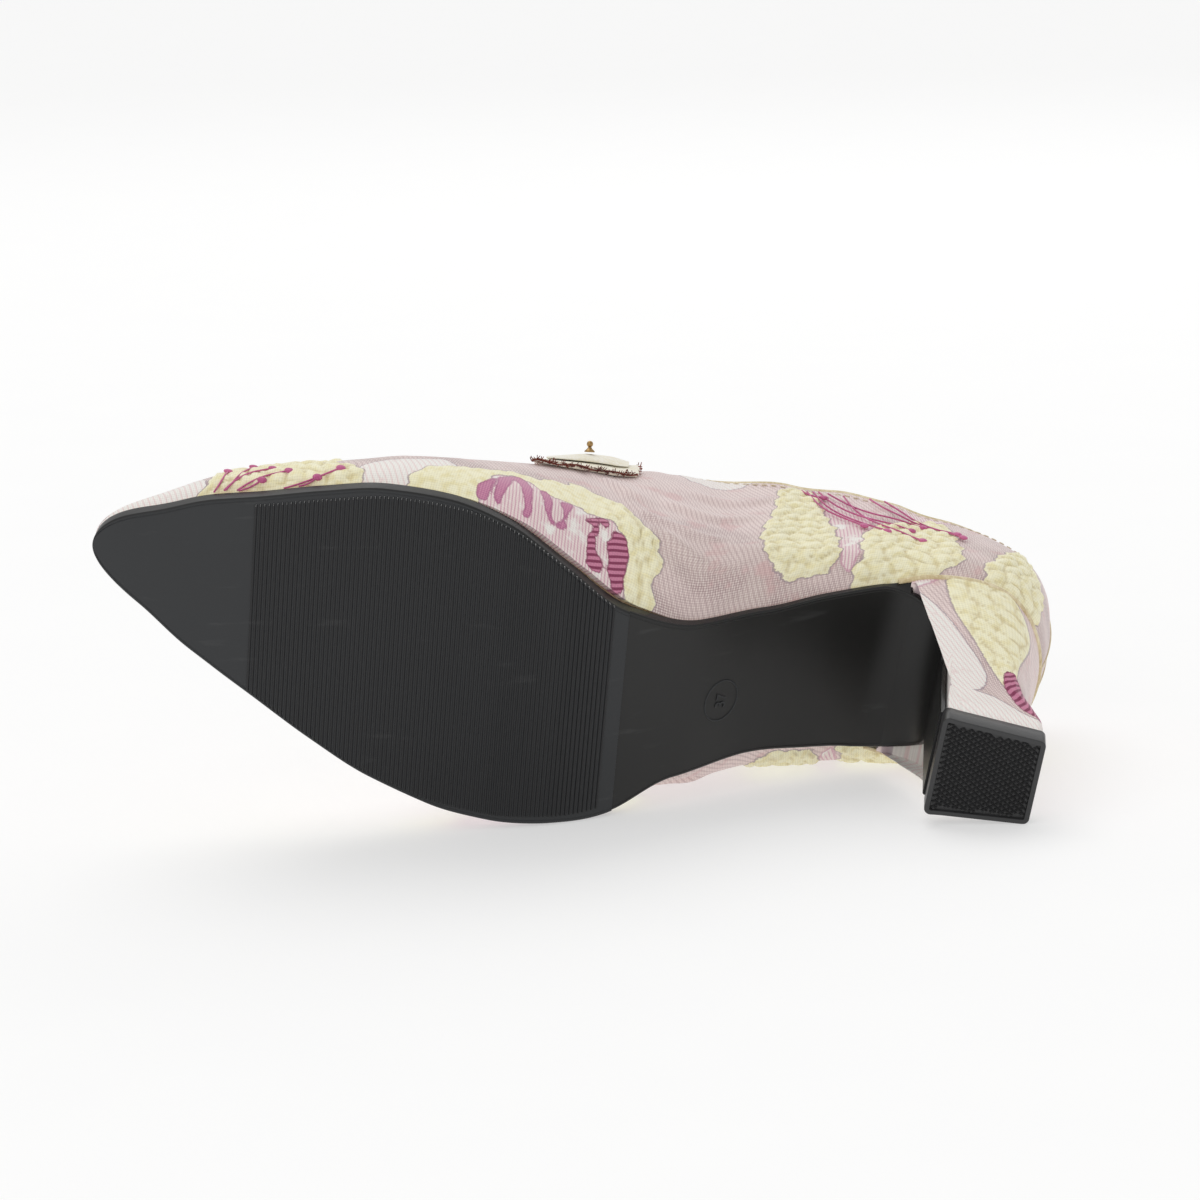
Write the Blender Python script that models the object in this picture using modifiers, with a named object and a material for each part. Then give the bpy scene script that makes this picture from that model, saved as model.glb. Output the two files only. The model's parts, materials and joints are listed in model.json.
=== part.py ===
"""High-heeled court shoe with a block heel and a bow: the right shoe, lying on its lateral side.

Every piece is modelled on the standing shoe, where X runs from the back of the counter to the toe,
Y points to the medial side and Z is up, with the ground at zero. The last lines lay the whole shoe
on its side, sole to the front and toe to the left, with the middle of its footprint at the origin.
"""
import math

import bmesh
import bpy
import numpy as np
from mathutils import Matrix, Vector

# Driving sizes, in metres
SHOE_LENGTH = 0.236          # counter to toe tip, in plan
BALL_WIDTH = 0.081           # sole, at its widest
TOE_SWING = 0.017            # how far the toe tip lies to the medial side of the heel's middle
SEAT_RISE = 0.0532           # underside of the seat above the ground
TOE_SPRING = 0.005           # underside of the toe tip above the ground
COLLAR_RISE = 0.0435         # collar above the seat, at the back
INSTEP_RISE = 0.078          # crown above the feather edge, at the throat
THROAT_REACH = 0.106         # counter to the throat, in plan
THROAT_DEPTH = 0.045         # length of the throat's round end
COUNTER_CURVE = 0.0015       # how far the collar's back leans in
TOE_ROUNDING = 0.006         # how far the toe's top stands back from its tip
UPPER_WALL = 0.0019
FEATHER_TUCK = 0.0005        # upper's edge inside the sole's edge
FOREFOOT_THICKNESS = 0.0030
WAIST_THICKNESS = 0.0018
FLAP_THICKNESS = 0.0012
TREAD_STEP = 0.0005          # the ribbed field stands proud of the waist
TREAD_REACH = 0.1050         # counter to the step behind the tread
BREAST_REACH = 0.0465        # counter to where the sole starts to turn down
BREAST_DROP = 0.0130         # height of that turn
INSOLE_THICKNESS = 0.0016
INSOLE_SIDE_GAP = 0.0034     # insole's side inside the feather edge
INSOLE_BACK_GAP = 0.0027
INSOLE_TOE_GAP = 0.0054
TOP_PIECE_LENGTH = 0.0252
TOP_PIECE_FRONT = 0.0264
TOP_PIECE_BACK = 0.0228
TOP_PIECE_THICKNESS = 0.0060
TOP_PIECE_INSET = 0.0042     # counter's back to the top piece's back
TOP_PIECE_CORNER = 0.0016
TOP_PIECE_BEVEL = 0.0004
HEEL_FLARE = 0.0040          # how far the heel's back draws in above its foot
HEEL_REVEAL = 0.0006         # heel block inside the top piece's edge
FLAP_REVEAL = 0.0012         # flap inside the heel block's sides
FLAP_SPREAD = 0.66           # share of the breast's height above which the flap widens to the seat
BOW_MIDDLE = 0.1225          # counter to the bow's middle, in plan
BOW_WIDTH = 0.025
BOW_KNOT_WIDTH = 0.011
RIBBON = 0.0012
LOOP_HEIGHT = 0.0022
KNOT_HEIGHT = 0.0034
BEAD_CAP_RADIUS = 0.0013
BEAD_CAP_HEIGHT = 0.0013
BEAD_RADIUS = 0.0008
CLEARANCE = 0.0003

# Plan and underside of the sole, toe last. along is a share of the plan length, swing of TOE_SWING,
# width of BALL_WIDTH, rise of SEAT_RISE and spring of TOE_SPRING.
SOLE_COLUMNS = ("along", "swing", "width", "rise", "spring")
SOLE_ROWS = (
    (0.000, 0.00, 0.000, 1.000, 0.00),
    (0.022, 0.00, 0.405, 0.991, 0.00),
    (0.040, 0.00, 0.518, 0.983, 0.00),
    (0.066, 0.00, 0.598, 0.968, 0.00),
    (0.100, 0.00, 0.632, 0.945, 0.00),
    (0.140, 0.00, 0.618, 0.919, 0.00),
    (0.177, 0.00, 0.566, 0.880, 0.00),
    (0.242, -0.05, 0.529, 0.748, 0.00),
    (0.307, -0.15, 0.499, 0.583, 0.00),
    (0.372, -0.28, 0.525, 0.367, 0.00),
    (0.437, -0.34, 0.680, 0.188, 0.00),
    (0.502, -0.08, 0.852, 0.060, 0.00),
    (0.567, 0.20, 0.976, 0.008, 0.00),
    (0.632, 0.37, 1.000, 0.000, 0.00),
    (0.697, 0.50, 0.940, 0.000, 0.00),
    (0.762, 0.62, 0.806, 0.000, 0.00),
    (0.827, 0.75, 0.642, 0.000, 0.04),
    (0.892, 0.88, 0.477, 0.000, 0.22),
    (0.946, 0.98, 0.300, 0.000, 0.52),
    (0.984, 1.01, 0.164, 0.000, 0.82),
    (1.000, 1.00, 0.000, 0.000, 1.00),
)

# Body of the upper. medial and lateral say how far its walls stand outside the feather edge, as shares
# of BALL_WIDTH. ridge is the crown line's place as a share of TOE_SWING. The height above the feather
# edge is collar times COLLAR_RISE plus crown times INSTEP_RISE, where an open section is cut short of
# its crown. open is the collar's half width as a share of the wall's, and full is the section's power:
# 1 is an ellipse, and less has fuller shoulders.
BODY_COLUMNS = ("along", "medial", "lateral", "ridge", "collar", "crown", "open", "full")
BODY_ROWS = (
    (0.000, 0.024, 0.024, 0.00, 1.00, 0.000, 0.56, 0.80),
    (0.066, 0.027, 0.032, 0.00, 0.98, 0.000, 0.67, 0.80),
    (0.140, 0.036, 0.075, 0.00, 0.96, 0.000, 0.82, 0.80),
    (0.195, 0.076, 0.115, 0.02, 0.94, 0.080, 0.90, 0.78),
    (0.258, 0.106, 0.127, 0.06, 0.74, 0.540, 0.91, 0.74),
    (0.335, 0.162, 0.125, 0.14, 0.34, 0.945, 0.91, 0.68),
    (0.403, 0.203, 0.095, 0.28, 0.06, 1.005, 0.90, 0.62),
    (0.450, 0.175, 0.066, 0.42, 0.00, 1.020, 0.90, 0.57),
    (0.502, 0.092, 0.046, 0.52, 0.00, 0.950, 0.90, 0.57),
    (0.567, 0.048, 0.037, 0.60, 0.00, 0.765, 0.90, 0.62),
    (0.632, 0.037, 0.037, 0.66, 0.00, 0.610, 0.90, 0.68),
    (0.724, 0.037, 0.037, 0.74, 0.00, 0.490, 0.90, 0.72),
    (0.817, 0.037, 0.037, 0.83, 0.00, 0.432, 0.90, 0.74),
    (0.875, 0.036, 0.036, 0.89, 0.00, 0.352, 0.90, 0.75),
    (0.920, 0.032, 0.032, 0.94, 0.00, 0.265, 0.90, 0.76),
    (0.946, 0.026, 0.026, 0.97, 0.00, 0.190, 0.90, 0.78),
    (0.975, 0.018, 0.018, 0.99, 0.00, 0.115, 0.90, 0.80),
    (1.000, 0.012, 0.012, 1.00, 0.00, 0.065, 0.90, 0.80),
)

# Heel block from its foot to the seat. draw is a share of HEEL_FLARE, spread goes from the foot's
# outline to the seat's.
HEEL_COLUMNS = ("height", "draw", "spread")
HEEL_ROWS = (
    (0.00, 0.00, 0.00),
    (0.10, 0.02, 0.03),
    (0.20, 0.42, 0.12),
    (0.32, 0.90, 0.24),
    (0.50, 0.85, 0.43),
    (0.70, 0.45, 0.66),
    (0.87, 0.15, 0.86),
    (1.00, 0.00, 1.00),
)

# Shape of every section of the upper
WALL_TURN = 0.20             # share of the height over which the wall swings out to its full width
COUNTER_PEAK = 0.60          # share of the height where the counter is furthest back
TOE_PEAK = 0.15              # share of the height where the toe is furthest forward
TOE_START = 0.90             # share of the length where the toe's round end starts
END_SHARE = 0.25             # below this share of the ball's width the wall's swing fades out
INSOLE_ROUND = 3.0           # how square the insole's ends are

# Bow. Places across the vamp run from 0 on the crown line to 1 on the feather edge.
BOW_TAIL_REACH = 0.56        # ends of the lower layer
BOW_LOOP_REACH = 0.50        # ends of the loops
BOW_LOOP_START = 0.13        # roots of the loops
KNOT_GAP = 0.02              # between the knot and the loops' roots
BOW_PINCH = 0.60             # ribbon's width at the knot as a share of its full width
LOOP_SHARE = 0.78            # loops' width as a share of the lower layer's
LOOP_ROOT = 0.35             # loop's height at its root as a share of its full height
LOOP_MOUTH = 0.38            # loop's height at its open ends as a share of its full height
LOOP_WALL = 0.42             # how far the hollow draws in from the loop's height
LOOP_END_WALL = 0.12         # how far it draws in from the loop's length
KNOT_EDGE = 0.20             # knot's height at its ends as a share of its full height
BEAD_OUT = 0.80              # bead's place along the medial loop
BEAD_NECK = 0.25             # share of the bead's round that the cap hides
BEAD_SINK = 0.10             # how far the bead sits in its cap, as a share of its radius

# Numbers of steps
QUARTER_STATIONS = 22
VAMP_STATIONS = 22
TOE_STATIONS = 9
WALL_STEPS = 13
SOLE_STATIONS = 44
TURN_STEPS = 10
SEAT_STEPS = 3               # steps of the sole's turn that stay filled up to the footbed
FLAP_STEPS = 5
HEEL_RISE_STEPS = 14
HEEL_SIDE_STEPS = 6
HEEL_CORNER_STEPS = 4
INSOLE_STATIONS = 40
LOOP_STEPS = 22
BEAD_STEPS = 6
BEAD_SIDES = 12
BOW_STEPS = 6
BOW_ACROSS_STEPS = 20
DIFFERENCE = 1.0e-4

# Densities for the balance of the lying shoe, in kg per cubic metre
DENSITIES = {
    "outsole": 1150.0,
    "heel_block": 1050.0,
    "top_piece": 1200.0,
    "upper": 900.0,
    "insole": 650.0,
    "bow_tail": 500.0,
    "bow_loop_medial": 500.0,
    "bow_loop_lateral": 500.0,
    "bow_knot": 500.0,
    "bow_bead": 8500.0,
}


def clear_scene():
    for obj in list(bpy.data.objects):
        bpy.data.objects.remove(obj, do_unlink=True)


def column(rows, columns, name):
    return np.array([row[columns.index(name)] for row in rows])


def smooth(knots, values, at):
    """Cubic through the knots that never overshoots them."""
    steps = np.diff(knots)
    slopes = np.diff(values) / steps
    tangents = np.zeros(len(knots))
    for i in range(1, len(knots) - 1):
        if slopes[i - 1] * slopes[i] > 0.0:
            before = 2.0 * steps[i] + steps[i - 1]
            after = steps[i] + 2.0 * steps[i - 1]
            tangents[i] = (before + after) / (before / slopes[i - 1] + after / slopes[i])
    tangents[0] = slopes[0]
    tangents[-1] = slopes[-1]
    at = np.clip(at, knots[0], knots[-1])
    i = np.clip(np.searchsorted(knots, at) - 1, 0, len(steps) - 1)
    t = (at - knots[i]) / steps[i]
    rise = (3.0 - 2.0 * t) * t * t
    lean = t * (1.0 - t) ** 2 * steps[i] * tangents[i]
    fall = t * t * (1.0 - t) * steps[i] * tangents[i + 1]
    return values[i] + (values[i + 1] - values[i]) * rise + lean - fall


def sole_value(name, along):
    return smooth(column(SOLE_ROWS, SOLE_COLUMNS, "along"), column(SOLE_ROWS, SOLE_COLUMNS, name), along)


def body_value(name, along):
    return smooth(column(BODY_ROWS, BODY_COLUMNS, "along"), column(BODY_ROWS, BODY_COLUMNS, name), along)


def heel_value(name, height):
    return smooth(column(HEEL_ROWS, HEEL_COLUMNS, "height"), column(HEEL_ROWS, HEEL_COLUMNS, name), height)


def half_width(along):
    """Half the feather edge's width, with round ends: the table's width over that of a lens."""
    inner = SOLE_ROWS[1:-1]
    knots = column(inner, SOLE_COLUMNS, "along")
    fullness = column(inner, SOLE_COLUMNS, "width") / (2.0 * np.sqrt(knots * (1.0 - knots)))
    lens = math.sqrt(max(along * (1.0 - along), 0.0))
    return BALL_WIDTH * float(smooth(knots, fullness, along)) * lens


def swing(along):
    return TOE_SWING * float(sole_value("swing", along))


def feather_back(height):
    """Place of the upper's back at a share of its height."""
    return COUNTER_CURVE * ((height - COUNTER_PEAK) / (1.0 - COUNTER_PEAK)) ** 2


def feather_front(height):
    """Place of the toe's tip at a share of its height."""
    return SHOE_LENGTH - TOE_ROUNDING * ((height - TOE_PEAK) / (1.0 - TOE_PEAK)) ** 2


def plan_x(along, height=0.0):
    back = feather_back(height)
    return back + (feather_front(height) - back) * along


def plan_along(x):
    return (x - plan_x(0.0)) / (plan_x(1.0) - plan_x(0.0))


def underside(x):
    """Ground side of the waist, the seat and the smooth toe, without the tread's step."""
    along = plan_along(x)
    rise = SEAT_RISE * float(sole_value("rise", along))
    return rise + TOE_SPRING * float(sole_value("spring", along))


def sole_thickness(x):
    start = BREAST_REACH
    share = min(max((x - start) / (TREAD_REACH - start), 0.0), 1.0)
    return WAIST_THICKNESS + (FOREFOOT_THICKNESS - WAIST_THICKNESS) * share * share


def footbed(x):
    """Top of the outsole, and of the heel block behind it."""
    slope = (underside(x + DIFFERENCE) - underside(x - DIFFERENCE)) / (2.0 * DIFFERENCE)
    return underside(x) + sole_thickness(x) * math.sqrt(1.0 + slope * slope)


def collar_share(x):
    """Half width of the collar's opening as a share of the wall's, nothing in front of the throat."""
    behind = THROAT_REACH - x
    if behind <= 0.0:
        return 0.0
    along = (x - feather_back(1.0)) / (feather_front(1.0) - feather_back(1.0))
    return float(body_value("open", along)) * math.sqrt(1.0 - (1.0 - min(behind / THROAT_DEPTH, 1.0)) ** 2)


def section_angle(along):
    """Angle of a section at its top: a right angle where it closes over the crown."""
    share = collar_share(plan_x(along, 1.0))
    return math.acos(share ** (1.0 / float(body_value("full", along))))


def upper_point(along, step, side):
    """Point of the upper's outside, step 0 on the feather edge and 1 on the collar or the crown."""
    top_angle = section_angle(along)
    angle = step * top_angle
    height = math.sin(angle) / math.sin(top_angle)
    x = plan_x(along, height)
    name = "medial" if side > 0 else "lateral"
    ends = min(1.0, half_width(along) / (END_SHARE * BALL_WIDTH))
    edge = max(half_width(along) - FEATHER_TUCK * ends, 0.0)
    turn = math.sin(0.5 * math.pi * min(height / WALL_TURN, 1.0))
    wall = edge + BALL_WIDTH * float(body_value(name, along)) * turn * ends
    ridge = TOE_SWING * float(body_value("ridge", along))
    base = swing(along)
    reach = (base + side * wall - ridge) * math.cos(angle) ** float(body_value("full", along))
    rise = COLLAR_RISE * float(body_value("collar", along))
    rise += INSTEP_RISE * float(body_value("crown", along)) * math.sin(top_angle)
    if half_width(along) < DIFFERENCE:
        y = base + (ridge - base) * height
    else:
        y = ridge + reach
    z = footbed(plan_x(along)) + CLEARANCE + rise * height
    return Vector((x, y, z))


def throat_along():
    return (THROAT_REACH - feather_back(1.0)) / (feather_front(1.0) - feather_back(1.0))


def upper_stations():
    """Shares of the length, closer together at the counter, the throat and the toe."""
    throat = throat_along()
    back_turns = [math.pi * i / QUARTER_STATIONS for i in range(QUARTER_STATIONS + 1)]
    quarters = [throat * 0.5 * (1.0 - math.cos(turn)) for turn in back_turns]
    vamp = [throat + (TOE_START - throat) * i / VAMP_STATIONS for i in range(1, VAMP_STATIONS)]
    toe_turns = [0.5 * math.pi * i / TOE_STATIONS for i in range(TOE_STATIONS + 1)]
    toe = [TOE_START + (1.0 - TOE_START) * math.sin(turn) for turn in toe_turns]
    return quarters + vamp + toe


def new_mesh(name, build):
    mesh = bpy.data.meshes.new(name)
    shape = bmesh.new()
    build(shape)
    bmesh.ops.remove_doubles(shape, verts=shape.verts, dist=2.0e-6)
    bmesh.ops.dissolve_degenerate(shape, dist=1.0e-6, edges=shape.edges)
    bmesh.ops.recalc_face_normals(shape, faces=shape.faces)
    shape.to_mesh(mesh)
    shape.free()
    return mesh


def new_object(name, mesh, material, smooth_angle=35.0):
    obj = bpy.data.objects.new(name, mesh)
    COLLECTION.objects.link(obj)
    mesh.materials.append(material)
    mesh.shade_smooth()
    mesh.set_sharp_from_angle(angle=math.radians(smooth_angle))
    return obj


def new_material(name, colour, roughness, metallic=0.0):
    material = bpy.data.materials.new(name)
    material.use_nodes = True
    shader = material.node_tree.nodes["Principled BSDF"]
    shader.inputs["Base Color"].default_value = (*colour, 1.0)
    shader.inputs["Roughness"].default_value = roughness
    shader.inputs["Metallic"].default_value = metallic
    material.diffuse_color = (*colour, 1.0)
    return material


def quads(shape, first, second):
    """Faces between two rows of vertices, left out where they would have no size."""
    for i in range(len(first) - 1):
        corners = []
        for vertex in (first[i], first[i + 1], second[i + 1], second[i]):
            if all((vertex.co - other.co).length > 2.0e-6 for other in corners):
                corners.append(vertex)
        if len(corners) > 2:
            shape.faces.new(corners)


def add_rows(shape, rows):
    return [[shape.verts.new(point) for point in row] for row in rows]


def build_upper_skin(shape):
    for side in (1, -1):
        rows = []
        for along in upper_stations():
            rows.append([upper_point(along, j / WALL_STEPS, side) for j in range(WALL_STEPS + 1)])
        verts = add_rows(shape, rows)
        for first, second in zip(verts, verts[1:]):
            quads(shape, first, second)


def make_upper(material):
    mesh = new_mesh("upper", build_upper_skin)
    obj = new_object("upper", mesh, material)
    wall = obj.modifiers.new("wall", "SOLIDIFY")
    wall.thickness = UPPER_WALL
    wall.offset = -1.0
    wall.use_even_offset = True
    wall.use_quality_normals = True
    return obj


def heel_foot_front():
    return TOP_PIECE_INSET + TOP_PIECE_LENGTH - HEEL_REVEAL


def turn_point(share):
    """Underside of the sole as it turns down: from the seat's level to the top of the breast."""
    angle = 0.5 * math.pi * share
    reach = BREAST_REACH - heel_foot_front() - FLAP_THICKNESS
    x = BREAST_REACH - reach * math.sin(angle)
    return x, underside(x) - BREAST_DROP * (1.0 - math.cos(angle))


def flap_half_width(x, z):
    """Half width of the sole on the heel's breast, from the foot's to the seat's."""
    foot = TOP_PIECE_THICKNESS
    share = (z - foot) / (underside(x) - foot)
    share = min(max((share - FLAP_SPREAD) / (1.0 - FLAP_SPREAD), 0.0), 1.0)
    narrow = 0.5 * TOP_PIECE_FRONT - HEEL_REVEAL - FLAP_REVEAL
    wide = half_width(plan_along(BREAST_REACH))
    return narrow + (wide - narrow) * share


def sole_rows():
    """Cross rows from the toe to the flap's foot: lower medial and lateral, upper lateral and medial."""
    rows = []
    step_share = plan_along(TREAD_REACH)
    back_share = plan_along(BREAST_REACH)
    count = SOLE_STATIONS
    shares = [step_share + (1.0 - step_share) * math.cos(0.5 * math.pi * i / count) for i in range(count + 1)]
    waist_steps = count // 2
    shares += [step_share + (back_share - step_share) * i / waist_steps for i in range(waist_steps + 1)]
    for index, share in enumerate(shares):
        x = plan_x(share)
        proud = TREAD_STEP if index <= count else 0.0
        low = underside(x) - proud
        high = footbed(x)
        medial = swing(share) + half_width(share)
        lateral = swing(share) - half_width(share)
        rows.append(((x, medial, low), (x, lateral, low), (x, lateral, high), (x, medial, high)))
    for i in range(1, TURN_STEPS + 1):
        share = i / TURN_STEPS
        x, z = turn_point(share)
        thick = WAIST_THICKNESS + (FLAP_THICKNESS - WAIST_THICKNESS) * share
        angle = 0.5 * math.pi * share
        back = x - thick * math.sin(angle)
        high = z + thick * math.cos(angle)
        if i <= SEAT_STEPS:
            back = x
            high = footbed(x)
        half = flap_half_width(x, z)
        rows.append(((x, half, z), (x, -half, z), (back, -half, high), (back, half, high)))
    start_x, start_z = turn_point(1.0)
    foot = TOP_PIECE_THICKNESS + CLEARANCE
    for i in range(1, FLAP_STEPS + 1):
        z = start_z + (foot - start_z) * i / FLAP_STEPS
        half = flap_half_width(start_x, z)
        back = start_x - FLAP_THICKNESS
        rows.append(((start_x, half, z), (start_x, -half, z), (back, -half, z), (back, half, z)))
    return rows


def build_outsole(shape):
    rows = add_rows(shape, sole_rows())
    for first, second in zip(rows, rows[1:]):
        quads(shape, first + first[:1], second + second[:1])
    shape.faces.new(rows[-1])


def seat_front_share():
    """Where the heel block's top ends, behind the filled part of the sole's turn."""
    x, _ = turn_point(SEAT_STEPS / TURN_STEPS)
    return plan_along(x - 2.0 * WAIST_THICKNESS)


def heel_front(z):
    """Front of the heel block at a height, behind the flap."""
    points = []
    for i in range(TURN_STEPS * 4 + 1):
        share = i / (TURN_STEPS * 4)
        x, low = turn_point(share)
        thick = WAIST_THICKNESS + (FLAP_THICKNESS - WAIST_THICKNESS) * share
        angle = 0.5 * math.pi * share
        back = thick + 2.0 * CLEARANCE
        points.append((low + back * math.cos(angle), x - back * math.sin(angle)))
    points.reverse()
    return float(np.interp(z, [p[0] for p in points], [p[1] for p in points]))


def foot_half(outset):
    """Medial half of the heel's foot, front corner to the middle of the back."""
    front = TOP_PIECE_INSET + TOP_PIECE_LENGTH + outset
    back = TOP_PIECE_INSET - outset
    wide = 0.5 * TOP_PIECE_FRONT + outset
    narrow = 0.5 * TOP_PIECE_BACK + outset
    corner = TOP_PIECE_CORNER + outset
    points = []
    for i in range(HEEL_SIDE_STEPS):
        share = i / HEEL_SIDE_STEPS
        x = front + (back + corner - front) * share
        points.append((x, wide + (narrow - wide) * share))
    for i in range(HEEL_CORNER_STEPS + 1):
        angle = 0.5 * math.pi * i / HEEL_CORNER_STEPS
        points.append((back + corner - corner * math.sin(angle), narrow - corner + corner * math.cos(angle)))
    points.append((back, 0.0))
    return points


def seat_half(count):
    """Medial half of the seat's outline with as many points as the foot's."""
    front = seat_front_share()
    points = []
    for i in range(count):
        share = front * math.cos(0.5 * math.pi * i / (count - 1)) ** 2
        points.append((plan_x(share), half_width(share)))
    return points


def heel_rings():
    foot = foot_half(-HEEL_REVEAL)
    seat = seat_half(len(foot))
    base = TOP_PIECE_THICKNESS + CLEARANCE
    rings = []
    for step in range(HEEL_RISE_STEPS + 1):
        height = step / HEEL_RISE_STEPS
        draw = HEEL_FLARE * float(heel_value("draw", height))
        spread = float(heel_value("spread", height))
        half = []
        for index, ((foot_x, foot_y), (seat_x, seat_y)) in enumerate(zip(foot, seat)):
            top = footbed(seat_x)
            z = base + (top - base) * height
            x = foot_x + (seat_x - foot_x) * spread
            behind = (foot[0][0] - foot_x) / (foot[0][0] - foot[-1][0])
            x += draw * behind
            if index == 0:
                x = min(heel_front(z), seat_x)
            half.append(Vector((x, foot_y + (seat_y - foot_y) * spread, z)))
        other = [Vector((p.x, -p.y, p.z)) for p in reversed(half[:-1])]
        rings.append(half + other)
    return rings


def ladder(shape, ring):
    """Closes a ring that is alike on both sides with faces from side to side."""
    last = len(ring) - 1
    for i in range(last // 2):
        corners = [ring[i], ring[i + 1], ring[last - i - 1], ring[last - i]]
        if corners[1] is corners[2]:
            corners.pop(2)
        shape.faces.new(corners)


def build_heel_block(shape):
    rings = add_rows(shape, heel_rings())
    for first, second in zip(rings, rings[1:]):
        quads(shape, first + first[:1], second + second[:1])
    ladder(shape, rings[0])
    ladder(shape, rings[-1])


def build_top_piece(shape):
    half = foot_half(0.0)
    corner = TOP_PIECE_CORNER
    front, wide = half[0]
    centre_x = front - corner
    centre_y = wide - corner
    round_front = [(front, centre_y)]
    for i in range(1, HEEL_CORNER_STEPS + 1):
        angle = 0.5 * math.pi * i / HEEL_CORNER_STEPS
        round_front.append((centre_x + corner * math.cos(angle), centre_y + corner * math.sin(angle)))
    medial = round_front + half[1:-1]
    outline = medial + [(x, -y) for x, y in reversed(medial)]
    rows = [[(x, y, z) for x, y in outline] for z in (0.0, TOP_PIECE_THICKNESS)]
    low, high = add_rows(shape, rows)
    quads(shape, low + low[:1], high + high[:1])
    shape.faces.new(low)
    shape.faces.new(high)


def make_top_piece(material):
    obj = new_object("top_piece", new_mesh("top_piece", build_top_piece), material)
    bevel = obj.modifiers.new("rim", "BEVEL")
    bevel.width = TOP_PIECE_BEVEL
    bevel.segments = 2
    bevel.limit_method = "ANGLE"
    bevel.angle_limit = math.radians(60.0)
    return obj


def build_insole(shape):
    """A sheet on the footbed, inside the upper's wall, round at both ends."""
    back = plan_x(0.0) + INSOLE_BACK_GAP
    front = plan_x(1.0) - INSOLE_TOE_GAP
    rows = []
    for i in range(INSOLE_STATIONS + 1):
        t = 0.5 * (1.0 - math.cos(math.pi * i / INSOLE_STATIONS))
        x = back + (front - back) * t
        along = plan_along(x)
        end = min(1.0, INSOLE_ROUND * math.sqrt(max(1.0 - (2.0 * t - 1.0) ** 2, 0.0)))
        half = max(half_width(along) - INSOLE_SIDE_GAP, 0.0) * end
        low = footbed(x) + CLEARANCE
        high = low + INSOLE_THICKNESS
        medial = swing(along) + half
        lateral = swing(along) - half
        rows.append(((x, medial, low), (x, lateral, low), (x, lateral, high), (x, medial, high)))
    verts = add_rows(shape, rows)
    for first, second in zip(verts, verts[1:]):
        quads(shape, first + first[:1], second + second[:1])


def vamp_point(x, across, lift):
    """Point over the vamp: across runs from -1 on the lateral feather edge to 1 on the medial one."""
    side = 1 if across >= 0.0 else -1
    along = (x - feather_back(1.0)) / (feather_front(1.0) - feather_back(1.0))
    step = 1.0 - abs(across)
    here = upper_point(along, step, side)
    ahead = upper_point(along + DIFFERENCE, step, side)
    if step > 1.0 - DIFFERENCE:
        left = upper_point(along, 1.0 - 100.0 * DIFFERENCE, 1)
        right = upper_point(along, 1.0 - 100.0 * DIFFERENCE, -1)
        normal = (left - right).cross(ahead - here)
    else:
        inner = upper_point(along, step + DIFFERENCE, side)
        normal = (inner - here).cross(ahead - here) * -side
    if normal.z < 0.0:
        normal.negate()
    return here + normal.normalized() * lift


def bow_half_width(across, reach):
    """Half the ribbon's width along the shoe, pinched at the knot."""
    share = min(abs(across) / reach, 1.0)
    return 0.5 * BOW_WIDTH * (BOW_PINCH + (1.0 - BOW_PINCH) * math.sin(0.5 * math.pi * share))


def bow_line(across, half, lift):
    """Points over the vamp from the bow's rear edge to its front edge."""
    places = [2.0 * j / BOW_STEPS - 1.0 for j in range(BOW_STEPS + 1)]
    return [vamp_point(BOW_MIDDLE + half * place, across, lift) for place in places]


def band_rings(shape, reach, low, high, half_width_at):
    """Closed rings of a flat band that lies across the vamp."""
    rings = []
    for i in range(BOW_ACROSS_STEPS + 1):
        across = reach * (2.0 * i / BOW_ACROSS_STEPS - 1.0)
        half = half_width_at(across)
        rings.append(bow_line(across, half, low(across)) + bow_line(across, half, high(across))[::-1])
    verts = add_rows(shape, rings)
    for first, second in zip(verts, verts[1:]):
        quads(shape, first + first[:1], second + second[:1])
    for ring in (verts[0], verts[-1]):
        last = len(ring) - 1
        for j in range(BOW_STEPS):
            shape.faces.new((ring[j], ring[j + 1], ring[last - j - 1], ring[last - j]))


def build_bow_tail(shape):
    """The lower layer, whose two ends lie flat on the vamp."""

    def half_width_at(across):
        return bow_half_width(across, BOW_TAIL_REACH)

    def top(across):
        return CLEARANCE + RIBBON

    band_rings(shape, BOW_TAIL_REACH, lambda across: CLEARANCE, top, half_width_at)


def loop_ring(inset):
    """Teardrop round a loop: share of the way out, and height as a share of half the loop's height."""
    points = []
    for i in range(LOOP_STEPS):
        angle = 2.0 * math.pi * i / LOOP_STEPS
        out = 0.5 * (1.0 - math.cos(angle))
        swell = (LOOP_ROOT + (1.0 - LOOP_ROOT) * out) * math.sin(angle)
        points.append((0.5 + (out - 0.5) * (1.0 - inset * LOOP_END_WALL), swell * (1.0 - inset * LOOP_WALL)))
    return points


def build_bow_loop(shape, side):
    """A puffed loop of ribbon, open at both its edges."""
    base = 2.0 * CLEARANCE + RIBBON
    shells = []
    for inset in (0.0, 1.0):
        rows = []
        for j in range(BOW_STEPS + 1):
            place = 2.0 * j / BOW_STEPS - 1.0
            height = 0.5 * LOOP_HEIGHT * (1.0 - (1.0 - LOOP_MOUTH) * place * place)
            row = []
            for out, swell in loop_ring(inset):
                across = BOW_LOOP_START + (BOW_LOOP_REACH - BOW_LOOP_START) * out
                half = LOOP_SHARE * bow_half_width(across, BOW_LOOP_REACH)
                lift = base + height * (1.0 + swell)
                row.append(vamp_point(BOW_MIDDLE + half * place, side * across, lift))
            rows.append(row)
        shells.append(add_rows(shape, rows))
    outer, inner = shells
    for shell in shells:
        for first, second in zip(shell, shell[1:]):
            quads(shape, first + first[:1], second + second[:1])
    for end in (0, -1):
        quads(shape, outer[end] + outer[end][:1], inner[end] + inner[end][:1])


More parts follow.
